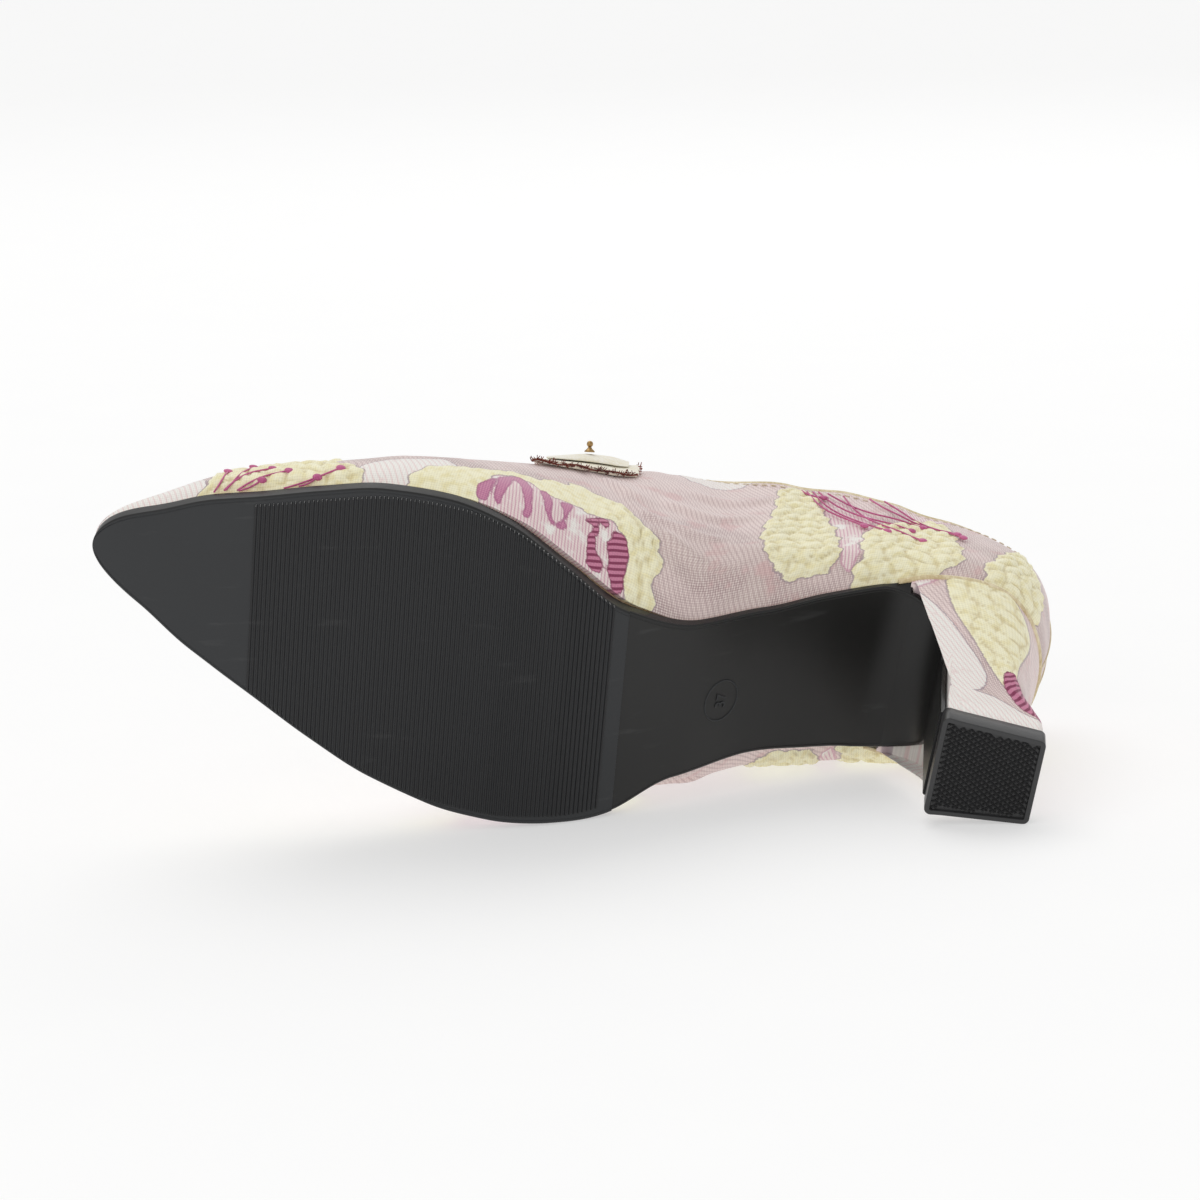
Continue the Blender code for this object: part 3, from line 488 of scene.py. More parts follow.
def pointRail(points, ways, outwards, grows):  # standing points with their directions and sizes
    mesh = bpy.data.meshes.new("rail")
    mesh.from_pydata([tuple(p) for p in laid(points)], [], [])
    for label, values in (("way", laidWay(ways)), ("outward", laidWay(outwards)), ("grow", grows)):
        attribute = mesh.attributes.new(label, "FLOAT_VECTOR", "POINT")
        attribute.data.foreach_set("vector", np.asarray(values, dtype=np.float32).ravel())
    return mesh


def spacedAlong(line, first, pitch, reach):    # places every pitch along a line, with the line's way there
    line = np.asarray(line)
    run = np.concatenate([[0.0], np.cumsum(np.linalg.norm(np.diff(line, axis=0), axis=1))])
    places = np.arange(first, run[-1] - 0.001, pitch)
    here, ahead = (np.stack([np.interp(at, run, line[:, k]) for k in range(3)], axis=1)
                   for at in (places, places + reach))
    return places, run, here, ahead - here


def lineRail(lines, closed=False):             # standing polylines as edges
    points, edges = [], []
    for line in lines:
        start = len(points)
        points += [tuple(p) for p in laid(line)]
        edges += [(start + i, start + i + 1) for i in range(len(line) - 1)]
        if closed:
            edges.append((start + len(line) - 1, start))
    mesh = bpy.data.meshes.new("rail")
    mesh.from_pydata(points, edges, [])
    return mesh


thread = threadTree()
knot = layTree("roundStitchOnPoints", "GeometryNodeMeshIcoSphere", {"Radius": 1.0, "Subdivisions": 2})
print("helpers ready")

# Camera at the photograph's angle, pale floor and soft light
view = {"side": 25.7, "yaw": -0.6, "roll": 9.8, "away": 0.9585, "aim": (0.113529, 0.0, 0.0213),
        "right": 0.0015975, "up": 0.015762, "lens": 118.125}


def placeCamera():
    side, yaw, roll = (math.radians(view[name]) for name in ("side", "yaw", "roll"))
    toward = Vector((math.sin(yaw) * math.cos(side), math.sin(side), -math.cos(yaw) * math.cos(side)))
    level = (Vector((0.0, 1.0, 0.0)) - toward * math.sin(side)).normalized()
    across = level.cross(toward)
    right = across * math.cos(roll) + level * math.sin(roll)
    up = level * math.cos(roll) - across * math.sin(roll)
    place = Vector(view["aim"]) + right * view["right"] + up * view["up"] + toward * view["away"]
    data = bpy.data.cameras.new("camera")
    data.lens = view["lens"]
    data.sensor_width = 36.0
    data.clip_end = 50.0
    camera = bpy.data.objects.new("camera", data)
    scene.collection.objects.link(camera)
    camera.matrix_world = lying @ (Matrix.Translation(place) @ Matrix((right, up, toward)).transposed().to_4x4())
    scene.camera = camera


def addLight(name, place, aim, size, energy):
    data = bpy.data.lights.new(name, "AREA")
    data.shape = "RECTANGLE"
    data.size, data.size_y = size
    data.energy = energy
    light = bpy.data.objects.new(name, data)
    scene.collection.objects.link(light)
    light.location = place
    light.rotation_euler = (Vector(aim) - Vector(place)).to_track_quat("-Z", "Y").to_euler()


lights = {"world": 0.62, "sun": 0.70, "back": 2.0, "front": 3.0, "floorGlow": 0.47}


def placeLights():
    data = bpy.data.lights.new("wideSun", "SUN")
    data.energy = lights["sun"]
    data.angle = math.radians(45.0)
    sun = bpy.data.objects.new("wideSun", data)
    scene.collection.objects.link(sun)
    sun.rotation_euler = (math.radians(-22.0), math.radians(-14.0), 0.0)
    addLight("softBack", (0.25, 1.3, 0.9), (0.0, 0.0, 0.05), (1.4, 0.7), lights["back"])
    addLight("softFront", (-0.7, -1.3, 0.8), (0.0, 0.0, 0.05), (1.6, 1.2), lights["front"])
    world = bpy.data.worlds.new("studio")
    world.use_nodes = True
    world.node_tree.nodes["Background"].inputs[0].default_value = (1.0, 1.0, 1.0, 1.0)
    world.node_tree.nodes["Background"].inputs[1].default_value = lights["world"]
    scene.world = world
    scene.view_settings.view_transform = "Standard"


def placeFloor():
    mesh = bpy.data.meshes.new("floor")
    mesh.from_pydata([(-15, -8, 0), (15, -8, 0), (15, 22, 0), (-15, 22, 0)], [], [(0, 1, 2, 3)])
    material, tree, shader = newMaterial("floorPaper", 0.9, specular=0.1)
    grain = noiseOf(tree, addNode(tree, "ShaderNodeTexCoord").outputs["Object"], 30.0)
    tree.links.new(mixOf(tree, grain, (0.55, 0.55, 0.55), (0.565, 0.565, 0.56)), shader.inputs["Base Color"])
    shader.inputs["Emission Color"].default_value = (1.0, 1.0, 1.0, 1.0)    # a glowing table softens the shadow
    shader.inputs["Emission Strength"].default_value = lights["floorGlow"]
    mesh.materials.append(material)
    floor = bpy.data.objects.new("floor", mesh)
    scene.collection.objects.link(floor)


placeCamera()
placeLights()
placeFloor()
print("camera, light and floor ready")

# Rubber, cloths, lining and brass
# Rubber colours: the ribs' darker colour is a painted shade for the grooves of the ribbed field, and the pale grey
# for the rib ends is a painted highlight
rubberLook = {"plain": (0.022, 0.0235, 0.0255), "waist": (0.010, 0.0097, 0.0092), "wall": (0.007, 0.007, 0.007),
              "rib": (0.010, 0.010, 0.011), "ribEndGlint": (0.32, 0.32, 0.32), "lift": (0.035, 0.035, 0.036),
              "scuff": (0.09, 0.09, 0.09), "grain": 900.0, "bump": 0.00006}


def makeRubber(name, base, roughness, zone=False):
    material, tree, shader = newMaterial(name, roughness, specular=0.42)
    where = addNode(tree, "ShaderNodeTexCoord").outputs["Object"]
    cloud = noiseOf(tree, where, 28.0, 3.0)
    fine = noiseOf(tree, where, rubberLook["grain"], 3.0)
    dark = tuple(c * 0.78 for c in base)
    light = tuple(c * 1.22 for c in base)
    colour = mixOf(tree, cloud, dark, light)
    if zone:
        attribute = addNode(tree, "ShaderNodeAttribute", attribute_name="waist").outputs["Fac"]
        colour = mixOf(tree, attribute, colour, rubberLook["waist"])
        wall = addNode(tree, "ShaderNodeAttribute", attribute_name="edge").outputs["Fac"]
        colour = mixOf(tree, wall, colour, rubberLook["wall"])
        rough = mathOf(tree, "MULTIPLY_ADD", attribute, -0.10, roughness)
        rough = mathOf(tree, "MULTIPLY_ADD", cloud, 0.10, mathOf(tree, "SUBTRACT", rough, 0.05))
        rough = mathOf(tree, "MULTIPLY_ADD", wall, -0.14, rough)
        tree.links.new(rough, shader.inputs["Roughness"])
        height = mathOf(tree, "MULTIPLY", fine, mathOf(tree, "MULTIPLY_ADD", attribute, -0.6, 1.0))
    else:
        rough = mathOf(tree, "MULTIPLY_ADD", cloud, 0.12, roughness - 0.06)
        tree.links.new(rough, shader.inputs["Roughness"])
        height = fine
    scuff = stepOf(tree, noiseOf(tree, where, 60.0, 6.0, (1.0, 1.0, 5.0)), 0.62, 0.75)
    colour = mixOf(tree, mathOf(tree, "MULTIPLY", scuff, 0.18), colour, rubberLook["scuff"])
    tree.links.new(colour, shader.inputs["Base Color"])
    setBump(tree, shader, height, rubberLook["bump"], 0.6)
    return material


soleRubber = makeRubber("soleRubber", rubberLook["plain"], 0.50, zone=True)
# the ribs take a darker copy of the sole's rubber, a painted shade for the grooves between them
ribShadedRubber = makeRubber("ribShadedRubber", rubberLook["rib"], 0.44)
# pale rubber for the rib ends: a painted highlight of light caught on the ends of the ribs
ribGlintRubber = makeRubber("paintedRibEndGlints", rubberLook["ribEndGlint"], 0.35)
liftRubber = makeRubber("liftRubber", rubberLook["lift"], 0.34)

clothLook = {
    "ground": shade(216, 194, 188), "groundDark": shade(182, 154, 154), "groundLight": shade(242, 222, 218),
    "rose": shade(214, 166, 166),
    # the darkest cream is a painted shade for the valleys between the puckers
    "cream": shade(252, 247, 214), "creamShade": shade(242, 232, 184), "creamValleyShade": shade(208, 190, 138),
    "white": shade(246, 242, 236), "pink": shade(240, 222, 218), "hatch": shade(206, 142, 168),
    "orchid": shade(196, 118, 158), "magenta": shade(134, 46, 84), "magentaLight": shade(206, 128, 158),
    "magentaLine": shade(168, 84, 130), "line": shade(206, 150, 172), "purple": shade(150, 128, 142),
}


def attributeOf(tree, name):
    return addNode(tree, "ShaderNodeAttribute", attribute_name=name).outputs["Fac"]


paintKinds = ("pink", "white", "cream", "orchid", "magenta")


def waveOf(tree, where, turn, pitch, bend):    # parallel lines with a pitch in millimetres
    turned = addNode(tree, "ShaderNodeMapping", {"Vector": where, "Rotation": (0.0, 0.0, math.radians(turn))})
    wave = addNode(tree, "ShaderNodeTexWave", {"Vector": turned.outputs[0], "Scale": 6.283 / pitch / 20.0,
                   "Distortion": bend, "Detail": 1.5, "Detail Scale": 0.6}, bands_direction="X")
    return wave.outputs["Fac"]


def hatchOf(tree, where, turn, pitch, width, bend=1.0):    # fine drawn lines in the cloth
    return stepOf(tree, waveOf(tree, where, turn, pitch, bend), 1.0 - width, 1.0 - 0.4 * width)


def makeJacquard(name):
    look = clothLook
    material, tree, shader = newMaterial(name, 0.60, sheen=0.25, specular=0.35)
    where = addNode(tree, "ShaderNodeUVMap", uv_map="chart").outputs[0]
    cloud = noiseOf(tree, where, 0.09, 3.0)
    slubs = noiseOf(tree, where, 1.0, 2.0, (0.25, 3.2, 1.0))
    warp = noiseOf(tree, where, 1.0, 2.0, (3.4, 0.3, 1.0))
    yarns = mathOf(tree, "ADD", waveOf(tree, where, 0.0, 0.62, 0.5), waveOf(tree, where, 90.0, 0.62, 0.5))
    threads = mathOf(tree, "ADD", slubs, warp)
    weave = mathOf(tree, "MULTIPLY", mathOf(tree, "ADD", yarns, threads), 0.25)
    ragged = mathOf(tree, "MULTIPLY_ADD", noiseOf(tree, where, 1.6, 2.0), 0.8, -0.4)

    ground = mixOf(tree, stepOf(tree, cloud, 0.35, 0.65), look["groundDark"], look["ground"])
    ground = mixOf(tree, stepOf(tree, weave, 0.40, 0.62), ground, mixOf(tree, 0.4, look["ground"], look["white"]))
    across = addNode(tree, "ShaderNodeSeparateXYZ", {"Vector": where}).outputs[1]
    high = stepOf(tree, mathOf(tree, "MULTIPLY_ADD", cloud, 34.0, across), 30.0, 62.0)
    ground = mixOf(tree, mathOf(tree, "MULTIPLY", high, 0.7), ground, look["groundLight"])
    band = stepOf(tree, waveOf(tree, where, 62.0, 13.0, 5.0), 0.35, 0.85)
    ground = mixOf(tree, mathOf(tree, "MULTIPLY", band, 0.38), ground, look["groundLight"])
    twill = mathOf(tree, "MULTIPLY", hatchOf(tree, where, 24.0, 1.15, 0.45, 2.6), 0.42)
    ground = mixOf(tree, twill, ground, look["groundDark"])
    blush = mathOf(tree, "ADD", noiseOf(tree, where, 0.14, 4.0), mathOf(tree, "MULTIPLY", slubs, 0.15))
    rose = stepOf(tree, blush, 0.62, 0.76)
    ground = mixOf(tree, mathOf(tree, "MULTIPLY", rose, 0.45), ground, look["rose"])

    kinds = {kind: mathOf(tree, "ADD", attributeOf(tree, kind + "Inside"), ragged) for kind in paintKinds}

    pinkColour = mixOf(tree, hatchOf(tree, where, 8.5, 0.85, 0.45, 0.7), look["pink"], look["hatch"])
    pinkColour = mixOf(tree, 0.35, pinkColour, look["pink"])
    pinkColour = mixOf(tree, stepOf(tree, noiseOf(tree, where, 0.22, 3.0), 0.52, 0.68), pinkColour, look["white"])
    whiteColour = mixOf(tree, hatchOf(tree, where, 24.0, 1.3, 0.30, 2.0), look["white"], look["pink"])
    whiteColour = mixOf(tree, stepOf(tree, noiseOf(tree, where, 0.3, 3.0), 0.60, 0.74), whiteColour, look["pink"])
    creamColour = mixOf(tree, stepOf(tree, noiseOf(tree, where, 0.5, 3.0), 0.30, 0.60), look["creamShade"],
                        look["cream"])
    # the seams between the cream puckers are painted a darker gold: painted shade in the valleys
    valleyShade = mathOf(tree, "MULTIPLY", attributeOf(tree, "puckerShade"), 0.7)
    creamColour = mixOf(tree, valleyShade, creamColour, look["creamValleyShade"])
    magentaColour = mixOf(tree, hatchOf(tree, where, -57.5, 1.35, 0.62, 1.6), look["magentaLight"], look["magenta"])
    orchidColour = mixOf(tree, stepOf(tree, weave, 0.40, 0.62), look["orchid"], look["hatch"])

    colour = ground
    for kind, paint, line, lineWidth in (
            ("pink", pinkColour, look["line"], 0.35), ("white", whiteColour, look["purple"], 0.25),
            ("cream", creamColour, look["purple"], 0.30), ("orchid", orchidColour, look["magentaLine"], 0.3),
            ("magenta", magentaColour, look["magenta"], 0.25)):
        colour = mixOf(tree, stepOf(tree, kinds[kind], -0.12, 0.12), colour, paint)
        away = mathOf(tree, "ABSOLUTE", kinds[kind])
        edge = mathOf(tree, "SUBTRACT", 1.0, stepOf(tree, away, 0.5 * lineWidth, lineWidth))
        colour = mixOf(tree, mathOf(tree, "MULTIPLY", edge, 0.65), colour, line)
    # the colour is made darker and lighter with the weave and its slubs
    weaveBrightness = mathOf(tree, "MULTIPLY_ADD", weave, 0.34, 0.83)
    bright = addNode(tree, "ShaderNodeCombineColor", {0: weaveBrightness, 1: weaveBrightness, 2: weaveBrightness}).outputs[0]
    colour = mixOf(tree, 1.0, colour, bright, "MULTIPLY")
    tree.links.new(colour, shader.inputs["Base Color"])
    rough = mathOf(tree, "MULTIPLY_ADD", stepOf(tree, kinds["cream"], -0.1, 0.3), 0.18, 0.50)
    tree.links.new(rough, shader.inputs["Roughness"])
    setBump(tree, shader, weave, 0.00014, 0.6)
    return material


def makeCloth(name, light, dark, scale=900.0, roughness=0.7, sheen=0.2, bumpHeight=0.0001):
    material, tree, shader = newMaterial(name, roughness, sheen=sheen, specular=0.3)
    where = addNode(tree, "ShaderNodeTexCoord").outputs["Object"]
    fine = noiseOf(tree, where, scale, 3.0, (1.0, 2.6, 1.0))
    cross = noiseOf(tree, where, scale, 3.0, (2.6, 1.0, 1.0))
    weave = mathOf(tree, "MULTIPLY", mathOf(tree, "ADD", fine, cross), 0.5)
    cloud = noiseOf(tree, where, 90.0, 3.0)
    both = mathOf(tree, "ADD", mathOf(tree, "MULTIPLY", weave, 0.6), mathOf(tree, "MULTIPLY", cloud, 0.4))
    tree.links.new(mixOf(tree, stepOf(tree, both, 0.38, 0.62), dark, light), shader.inputs["Base Color"])
    setBump(tree, shader, weave, bumpHeight, 0.6)
    return material


def makeBrass():
    material, tree, shader = newMaterial("beadBrass", 0.28, metallic=1.0)
    where = addNode(tree, "ShaderNodeTexCoord").outputs["Object"]
    tarnish = noiseOf(tree, where, 700.0, 3.0)
    tree.links.new(mixOf(tree, tarnish, (0.52, 0.34, 0.15), (0.28, 0.17, 0.07)), shader.inputs["Base Color"])
    setBump(tree, shader, tarnish, 0.00003, 0.5)
    return material


jacquard = makeJacquard("floralJacquard")
goldenCream = makeCloth("goldenCreamRoll", shade(240, 228, 196), shade(206, 186, 142), 700.0)
bowCloth = makeCloth("bowCloth", shade(253, 250, 240), shade(242, 234, 210), 800.0)
frayCloth = makeCloth("frayedThread", shade(150, 72, 52), shade(96, 42, 36), 1500.0, sheen=0.1)
silkThread = makeCloth("magentaSilk", shade(214, 116, 162), shade(184, 82, 130), 1500.0, 0.5)
paleThread = makeCloth("creamThread", shade(236, 226, 206), shade(204, 186, 150), 1500.0, 0.6)
liningLeather = makeCloth("liningLeather", shade(222, 206, 184), shade(204, 184, 158), 500.0, 0.55, 0.05, 0.00005)
sockLeather = makeCloth("sockLeather", shade(228, 214, 192), shade(212, 194, 168), 420.0, 0.5, 0.05, 0.00006)
brass = makeBrass()
print("materials ready")

# Flowers of the cloth: closed outlines in chart millimetres, painted in this order
motifs = [
    ("pink", [(163.5, -4), (163, 3), (162, 8), (159, 13.5), (154, 16.5), (149, 13.5), (143, 14.5),
               (137, 15.5), (131, 16), (126, 14.5), (124.5, 9), (124, 3), (124, -4)]),
    ("pink", [(80.5, 50), (73, 42.5), (67, 33), (68.5, 18.5), (69, 5.5), (72, 9), (74.5, 20), (78.5, 36)]),
    ("pink", [(62, 46), (54, 54), (44, 49), (46, 40), (56, 36)]),
    ("pink", [(176, 52), (166, 60), (156, 54), (160, 44), (172, 42)]),
    ("white", [(258.5, 0), (253, 2), (246, 4.5), (239, 8), (234, 9.5), (230.5, 9), (229, 2), (228, -4),
               (243, -5), (256, -5)]),
    ("white", [(192, -4), (192, 6.5), (188.5, 11), (179.5, 15.5), (172.5, 17), (170, 6), (172, -4)]),
    ("white", [(204, 26), (194, 36), (181, 38), (172, 30), (180, 22), (194, 19)]),
    ("white", [(118, 78), (106, 84), (98, 74), (104, 64), (115, 66)]),
    ("cream", [(228.5, -4), (228.5, 6.5), (225.5, 13.5), (218, 16.5), (209.5, 18.5), (201, 13), (196, 9.5),
               (191.5, 5), (191.5, -4), (205, -5)]),
    ("cream", [(180, -3), (178.5, 5.5), (173, 11), (167, 13.5), (161, 17.5), (154, 20), (148, 23.5),
               (143, 28), (138, 30), (132.5, 29), (127.5, 26.5), (123, 22), (120, 19), (117.5, 16),
               (116, 12.5), (117, 9), (117, 5), (115, -4), (122, -4), (124, 3), (124.5, 9), (126, 14.5),
               (131, 16), (137, 15.5), (143, 14.5), (149, 13.5), (154, 16.5), (159, 13.5), (162, 8),
               (163, 3), (165, -4)]),
    ("cream", [(91.5, 59), (84, 58), (81, 48), (79, 37), (75, 23), (73, 8.5), (77.5, 6), (83.5, 6),
               (90, 12.5), (94, 25.5), (92.5, 42)]),
    ("cream", [(69, 20), (66.5, 27.5), (58.5, 32), (49, 36), (44.5, 21.5), (42, 7.5), (46, 2.5), (55.5, -4),
               (66.5, -4), (68.5, 5), (67.5, 10)]),
    ("cream", [(35.5, 3), (35, 12), (28.5, 29), (23.5, 24), (17.5, 16), (14.5, 7.5), (18, -4), (30, -4)]),
    ("cream", [(158, 74), (150, 88), (138, 90), (130, 78), (136, 62), (148, 58)]),
    ("cream", [(222, 22), (214, 30), (206, 32), (200, 26), (208, 20)]),
    ("orchid", [(163, 1.5), (163.5, 4.5), (162, 8), (160.5, 10), (160.5, 6), (160.5, 3), (161, 1.5)]),
    ("orchid", [(159.5, 11), (156.5, 15.5), (154, 16), (151.5, 12), (150.5, 8), (150, 2.5), (151.5, 2),
               (152, 6.5), (154, 11), (156, 13.5), (157, 7), (157.5, 3), (158, 1.5), (159, 3.5),
               (159.5, 7.5)]),
    ("orchid", [(149.5, 13), (147.5, 14), (146, 11.5), (145, 6.5), (143, 4.5), (144.5, 4.5), (146.5, 7),
               (148, 10.5)]),
    ("orchid", [(143.5, 12.5), (140.5, 15), (141, 10), (141.5, 7), (140.5, 6.5), (141.5, 5), (143, 5),
               (142, 8.5), (142.5, 11)]),
    ("magenta", [(136.5, 13), (132, 16), (130.5, 14.5), (131.5, 13), (133.3, 13.5), (132.8, 10), (132.3, 6),
               (131, 5), (130, 3), (130, 1.5), (132.5, 1), (134.2, 2.5), (134.6, 8), (134.5, 12),
               (136, 12)]),
    ("magenta", [(129.5, 13), (126.5, 14.5), (125, 12.5), (124.5, 9), (124, 2), (125.5, 0), (127, 1),
               (129, 3.5), (128.5, 6.5), (129.8, 8.5), (129.5, 11.5)]),
    ("magenta", [(148, 82), (142, 84), (140, 74), (144, 66), (149, 72)]),
]

# Stamens: root and tip in chart millimetres, with the bend of the thread
stamens = [
    (226.5, 0, 224.5, 9, 0.8), (224.5, 0, 213.5, 8.5, -1.2), (221.5, 0, 209, 6, -1.2), (217.5, 0, 196.5, 5.5, 1.6),
    (220, 0.8, 215, 3.5, 0.5), (205.5, 0.8, 201.5, 3, 0.5), (224, 0, 219, 12, 0.8),
    (86, 56, 80, 49, 0.8), (84.5, 55, 69, 26.5, 2.6), (83, 54.5, 63, 22.5, 3.6), (79, 52, 54, 28, 4.0),
    (75, 49, 53.5, 18, 4.6), (68, 46.5, 45, 25, 3.6), (64, 45, 43.5, 23, 2.6), (81.5, 54, 57, 24.5, 4.6),
    (160, 76, 175, 66, 2.0), (160, 78, 178, 74, 1.5), (159, 80, 174, 84, -2.0), (157, 83, 168, 92, -2.0),
    (158, 74, 168, 60, 2.4),
]


def closedCurve(points, fine=8):               # smooth closed outline through the given points
    points = np.array(points, float)
    t = np.linspace(0.0, 1.0, fine, endpoint=False)[:, None]
    parts = []
    for i in range(len(points)):
        a, b, c, d = (points[(i + k - 1) % len(points)] for k in range(4))
        bend, twist = 2 * a - 5 * b + 4 * c - d, 3 * b - a - 3 * c + d
        parts.append(0.5 * (2 * b + (c - a) * t + bend * t ** 2 + twist * t ** 3))
    return np.concatenate(parts)


def insideDepth(u, v, outline, far=7.0):       # millimetres inside an outline, negative outside
    depth = np.full(u.shape, -far)
    low, high = outline.min(axis=0) - far, outline.max(axis=0) + far
    near = np.flatnonzero((u > low[0]) & (u < high[0]) & (v > low[1]) & (v < high[1]))
    for chunk in np.array_split(near, max(1, len(near) // 20000)):
        p = np.stack([u[chunk], v[chunk]], axis=1)[:, None, :]
        a, b = outline[None], np.roll(outline, -1, axis=0)[None]
        along = np.clip(((p - a) * (b - a)).sum(-1) / ((b - a) ** 2).sum(-1), 0.0, 1.0)
        distance = np.linalg.norm(p - a - (b - a) * along[..., None], axis=-1).min(axis=1)
        crosses = (a[..., 1] > p[..., 1]) != (b[..., 1] > p[..., 1])
        slope = (b[..., 0] - a[..., 0]) / np.where(b[..., 1] == a[..., 1], 1e-9, b[..., 1] - a[..., 1])
        hits = crosses & (p[..., 0] < a[..., 0] + (p[..., 1] - a[..., 1]) * slope)
        depth[chunk] = distance * np.where(hits.sum(axis=1) % 2 == 1, 1.0, -1.0)
    return depth


outlines = [(kind, closedCurve(points)) for kind, points in motifs]


# How far the motifs' edges wander, in millimetres
raggedness = {"pink": 0.3, "white": 0.4, "cream": 0.55, "orchid": 0.16, "magenta": 0.3}


def paintDepths(u, v):                         # the medial flowers, and their mirrored repeat on the far side
    total = np.interp(u, chartRound, chartTotal)
    depths = {kind: np.full(u.shape, -7.0) for kind in paintKinds}
    for kind, outline in outlines:
        rough = raggedness[kind]
        for uu, vv in ((u, v), (u + 5.0, total - v + 2.0)):
            uu = uu + rough * (np.sin(vv / 1.3 + 1.7 * np.sin(uu / 3.1)) + 0.6 * np.sin(vv / 0.62 + uu / 1.7))
            vv = vv + rough * (np.sin(uu / 1.5 + 1.4 * np.sin(vv / 2.7)) + 0.6 * np.sin(uu / 0.71 - vv / 1.9))
            depths[kind] = np.maximum(depths[kind], insideDepth(uu, vv, outline))
    return depths


def puckerOf(u, v):                            # quilted bubbles of the cream petals, 0 in the seams
    a = u / 2.5 + 0.55 * np.sin(v / 2.1) + 0.4 * np.sin(v / 5.3 + u / 7.0)
    b = v / 2.3 + 0.55 * np.sin(u / 2.4) + 0.4 * np.sin(u / 6.1)
    return np.clip(np.abs(np.sin(np.pi * 0.5 * a) * np.cos(np.pi * 0.5 * b)) * 1.6, 0.0, 1.0) ** 0.6


def softStep(value, low, high):
    t = np.clip((value - low) / (high - low), 0.0, 1.0)
    return t * t * (3.0 - 2.0 * t)


def calmOf(u):                                 # the cream band over the ball has few puckers
    return 1.0 - 0.9 * softStep(u, 128.0, 137.0) * softStep(186.0 - u, 0.0, 6.0)


upperLook = {"bowPlace": 0.1225, "bowHalf": 0.0145, "bowReach": 0.62,
             "backStations": 190, "vampStations": 128, "toeStations": 40, "toeStart": 0.90, "steps": 100,
             "innerSteps": 10, "pucker": 0.00080, "petalRise": 0.00022, "wrinkle": 0.00075}


throat = (shoe["throatReach"] - backAt(1.0)) / (frontAt(1.0) - backAt(1.0))


def upperStations():
    back = throat * 0.5 * (1.0 - np.cos(np.linspace(0.0, np.pi, upperLook["backStations"])))
    vamp = np.linspace(throat, upperLook["toeStart"], upperLook["vampStations"])[1:-1]
    toe = np.sin(np.linspace(0.0, 0.5 * np.pi, upperLook["toeStations"]))
    return np.concatenate([back, vamp, upperLook["toeStart"] + (1.0 - upperLook["toeStart"]) * toe])


def sideGrid(along, steps, side):
    a, s = np.meshgrid(along, steps, indexing="ij")
    return upperPoint(a, s, float(side)), upperNormal(a, s, np.full(a.shape, float(side)))


def sharedNormals(medial, lateral, along):     # both sides agree on the back seam, the tip and the crown
    closed = section("top", along) > 0.5 * np.pi - 1e-3
    for rows, columns in (((0, -1), slice(None)), (closed, -1)):
        for row in (rows if isinstance(rows, tuple) else (rows,)):
            both = medial[row, columns] + lateral[row, columns]
            both = both / np.maximum(np.linalg.norm(both, axis=-1, keepdims=True), 1e-9)
            medial[row, columns] = both
            lateral[row, columns] = both


# Creases in the chart: both ends, the width and the height
creases = [(118, 20, 96, 13, 1.5, 0.0010), (125, 28, 102, 23, 1.9, 0.0008), (120, 40, 97, 38, 2.4, 0.0007),
           (114, 52, 92, 52, 2.6, 0.0007), (142, 50, 122, 36, 2.6, 0.0006), (130, 40, 118, 22, 2.0, 0.0005),
           (106, 9, 96, 4, 1.4, 0.0005), (66, 34, 56, 46, 2.0, 0.0004), (62, 60, 46, 58, 2.2, 0.0005)]


def clothLift(u, v, top, depths):              # how far the cloth stands out, in metres
    lift = upperLook["petalRise"] * softStep(depths["cream"], -0.3, 1.2)
    lift += upperLook["pucker"] * puckerOf(u, v) * softStep(depths["cream"], 0.2, 1.6) * calmOf(u)
    lift += 0.5 * upperLook["petalRise"] * softStep(np.maximum(depths["pink"], depths["white"]), -0.2, 0.8)
    lift += 0.9 * upperLook["petalRise"] * softStep(depths["magenta"], -0.2, 0.8)
    bare = 1.0 - softStep(np.max(list(depths.values()), axis=0), -3.0, 0.5)
    folds = np.sin((u * 0.62 + v * 0.78) / 4.7 + 1.1 * np.sin(u / 11.0)) * np.sin((u * 0.5 - v * 0.3) / 13.0 + 0.7)
    lift += upperLook["wrinkle"] * bare * (0.30 * folds + 0.20 * np.sin(v / 6.0 + np.sin(u / 5.0)))
    for u0, v0, u1, v1, width, height in creases:
        length = math.hypot(u1 - u0, v1 - v0)
        along = ((u - u0) * (u1 - u0) + (v - v0) * (v1 - v0)) / length
        off = ((u - u0) * (v1 - v0) - (v - v0) * (u1 - u0)) / length + 1.2 * np.sin(along * 3.0 / length)
        shape = np.exp(-(off / width) ** 2) - 0.6 * np.exp(-((off + 1.5 * width) / width) ** 2)
        lift += height * shape * bare * softStep(along, -2.0, 4.0) * softStep(length - along, -2.0, 4.0)
    edge = softStep(v, 0.5, 4.0) * softStep(top - v, 1.0, 4.0)
    ends = softStep(u, 1.0, 5.0) * softStep(chartRound[-1] - u, 1.0, 5.0)
    return lift * edge * ends


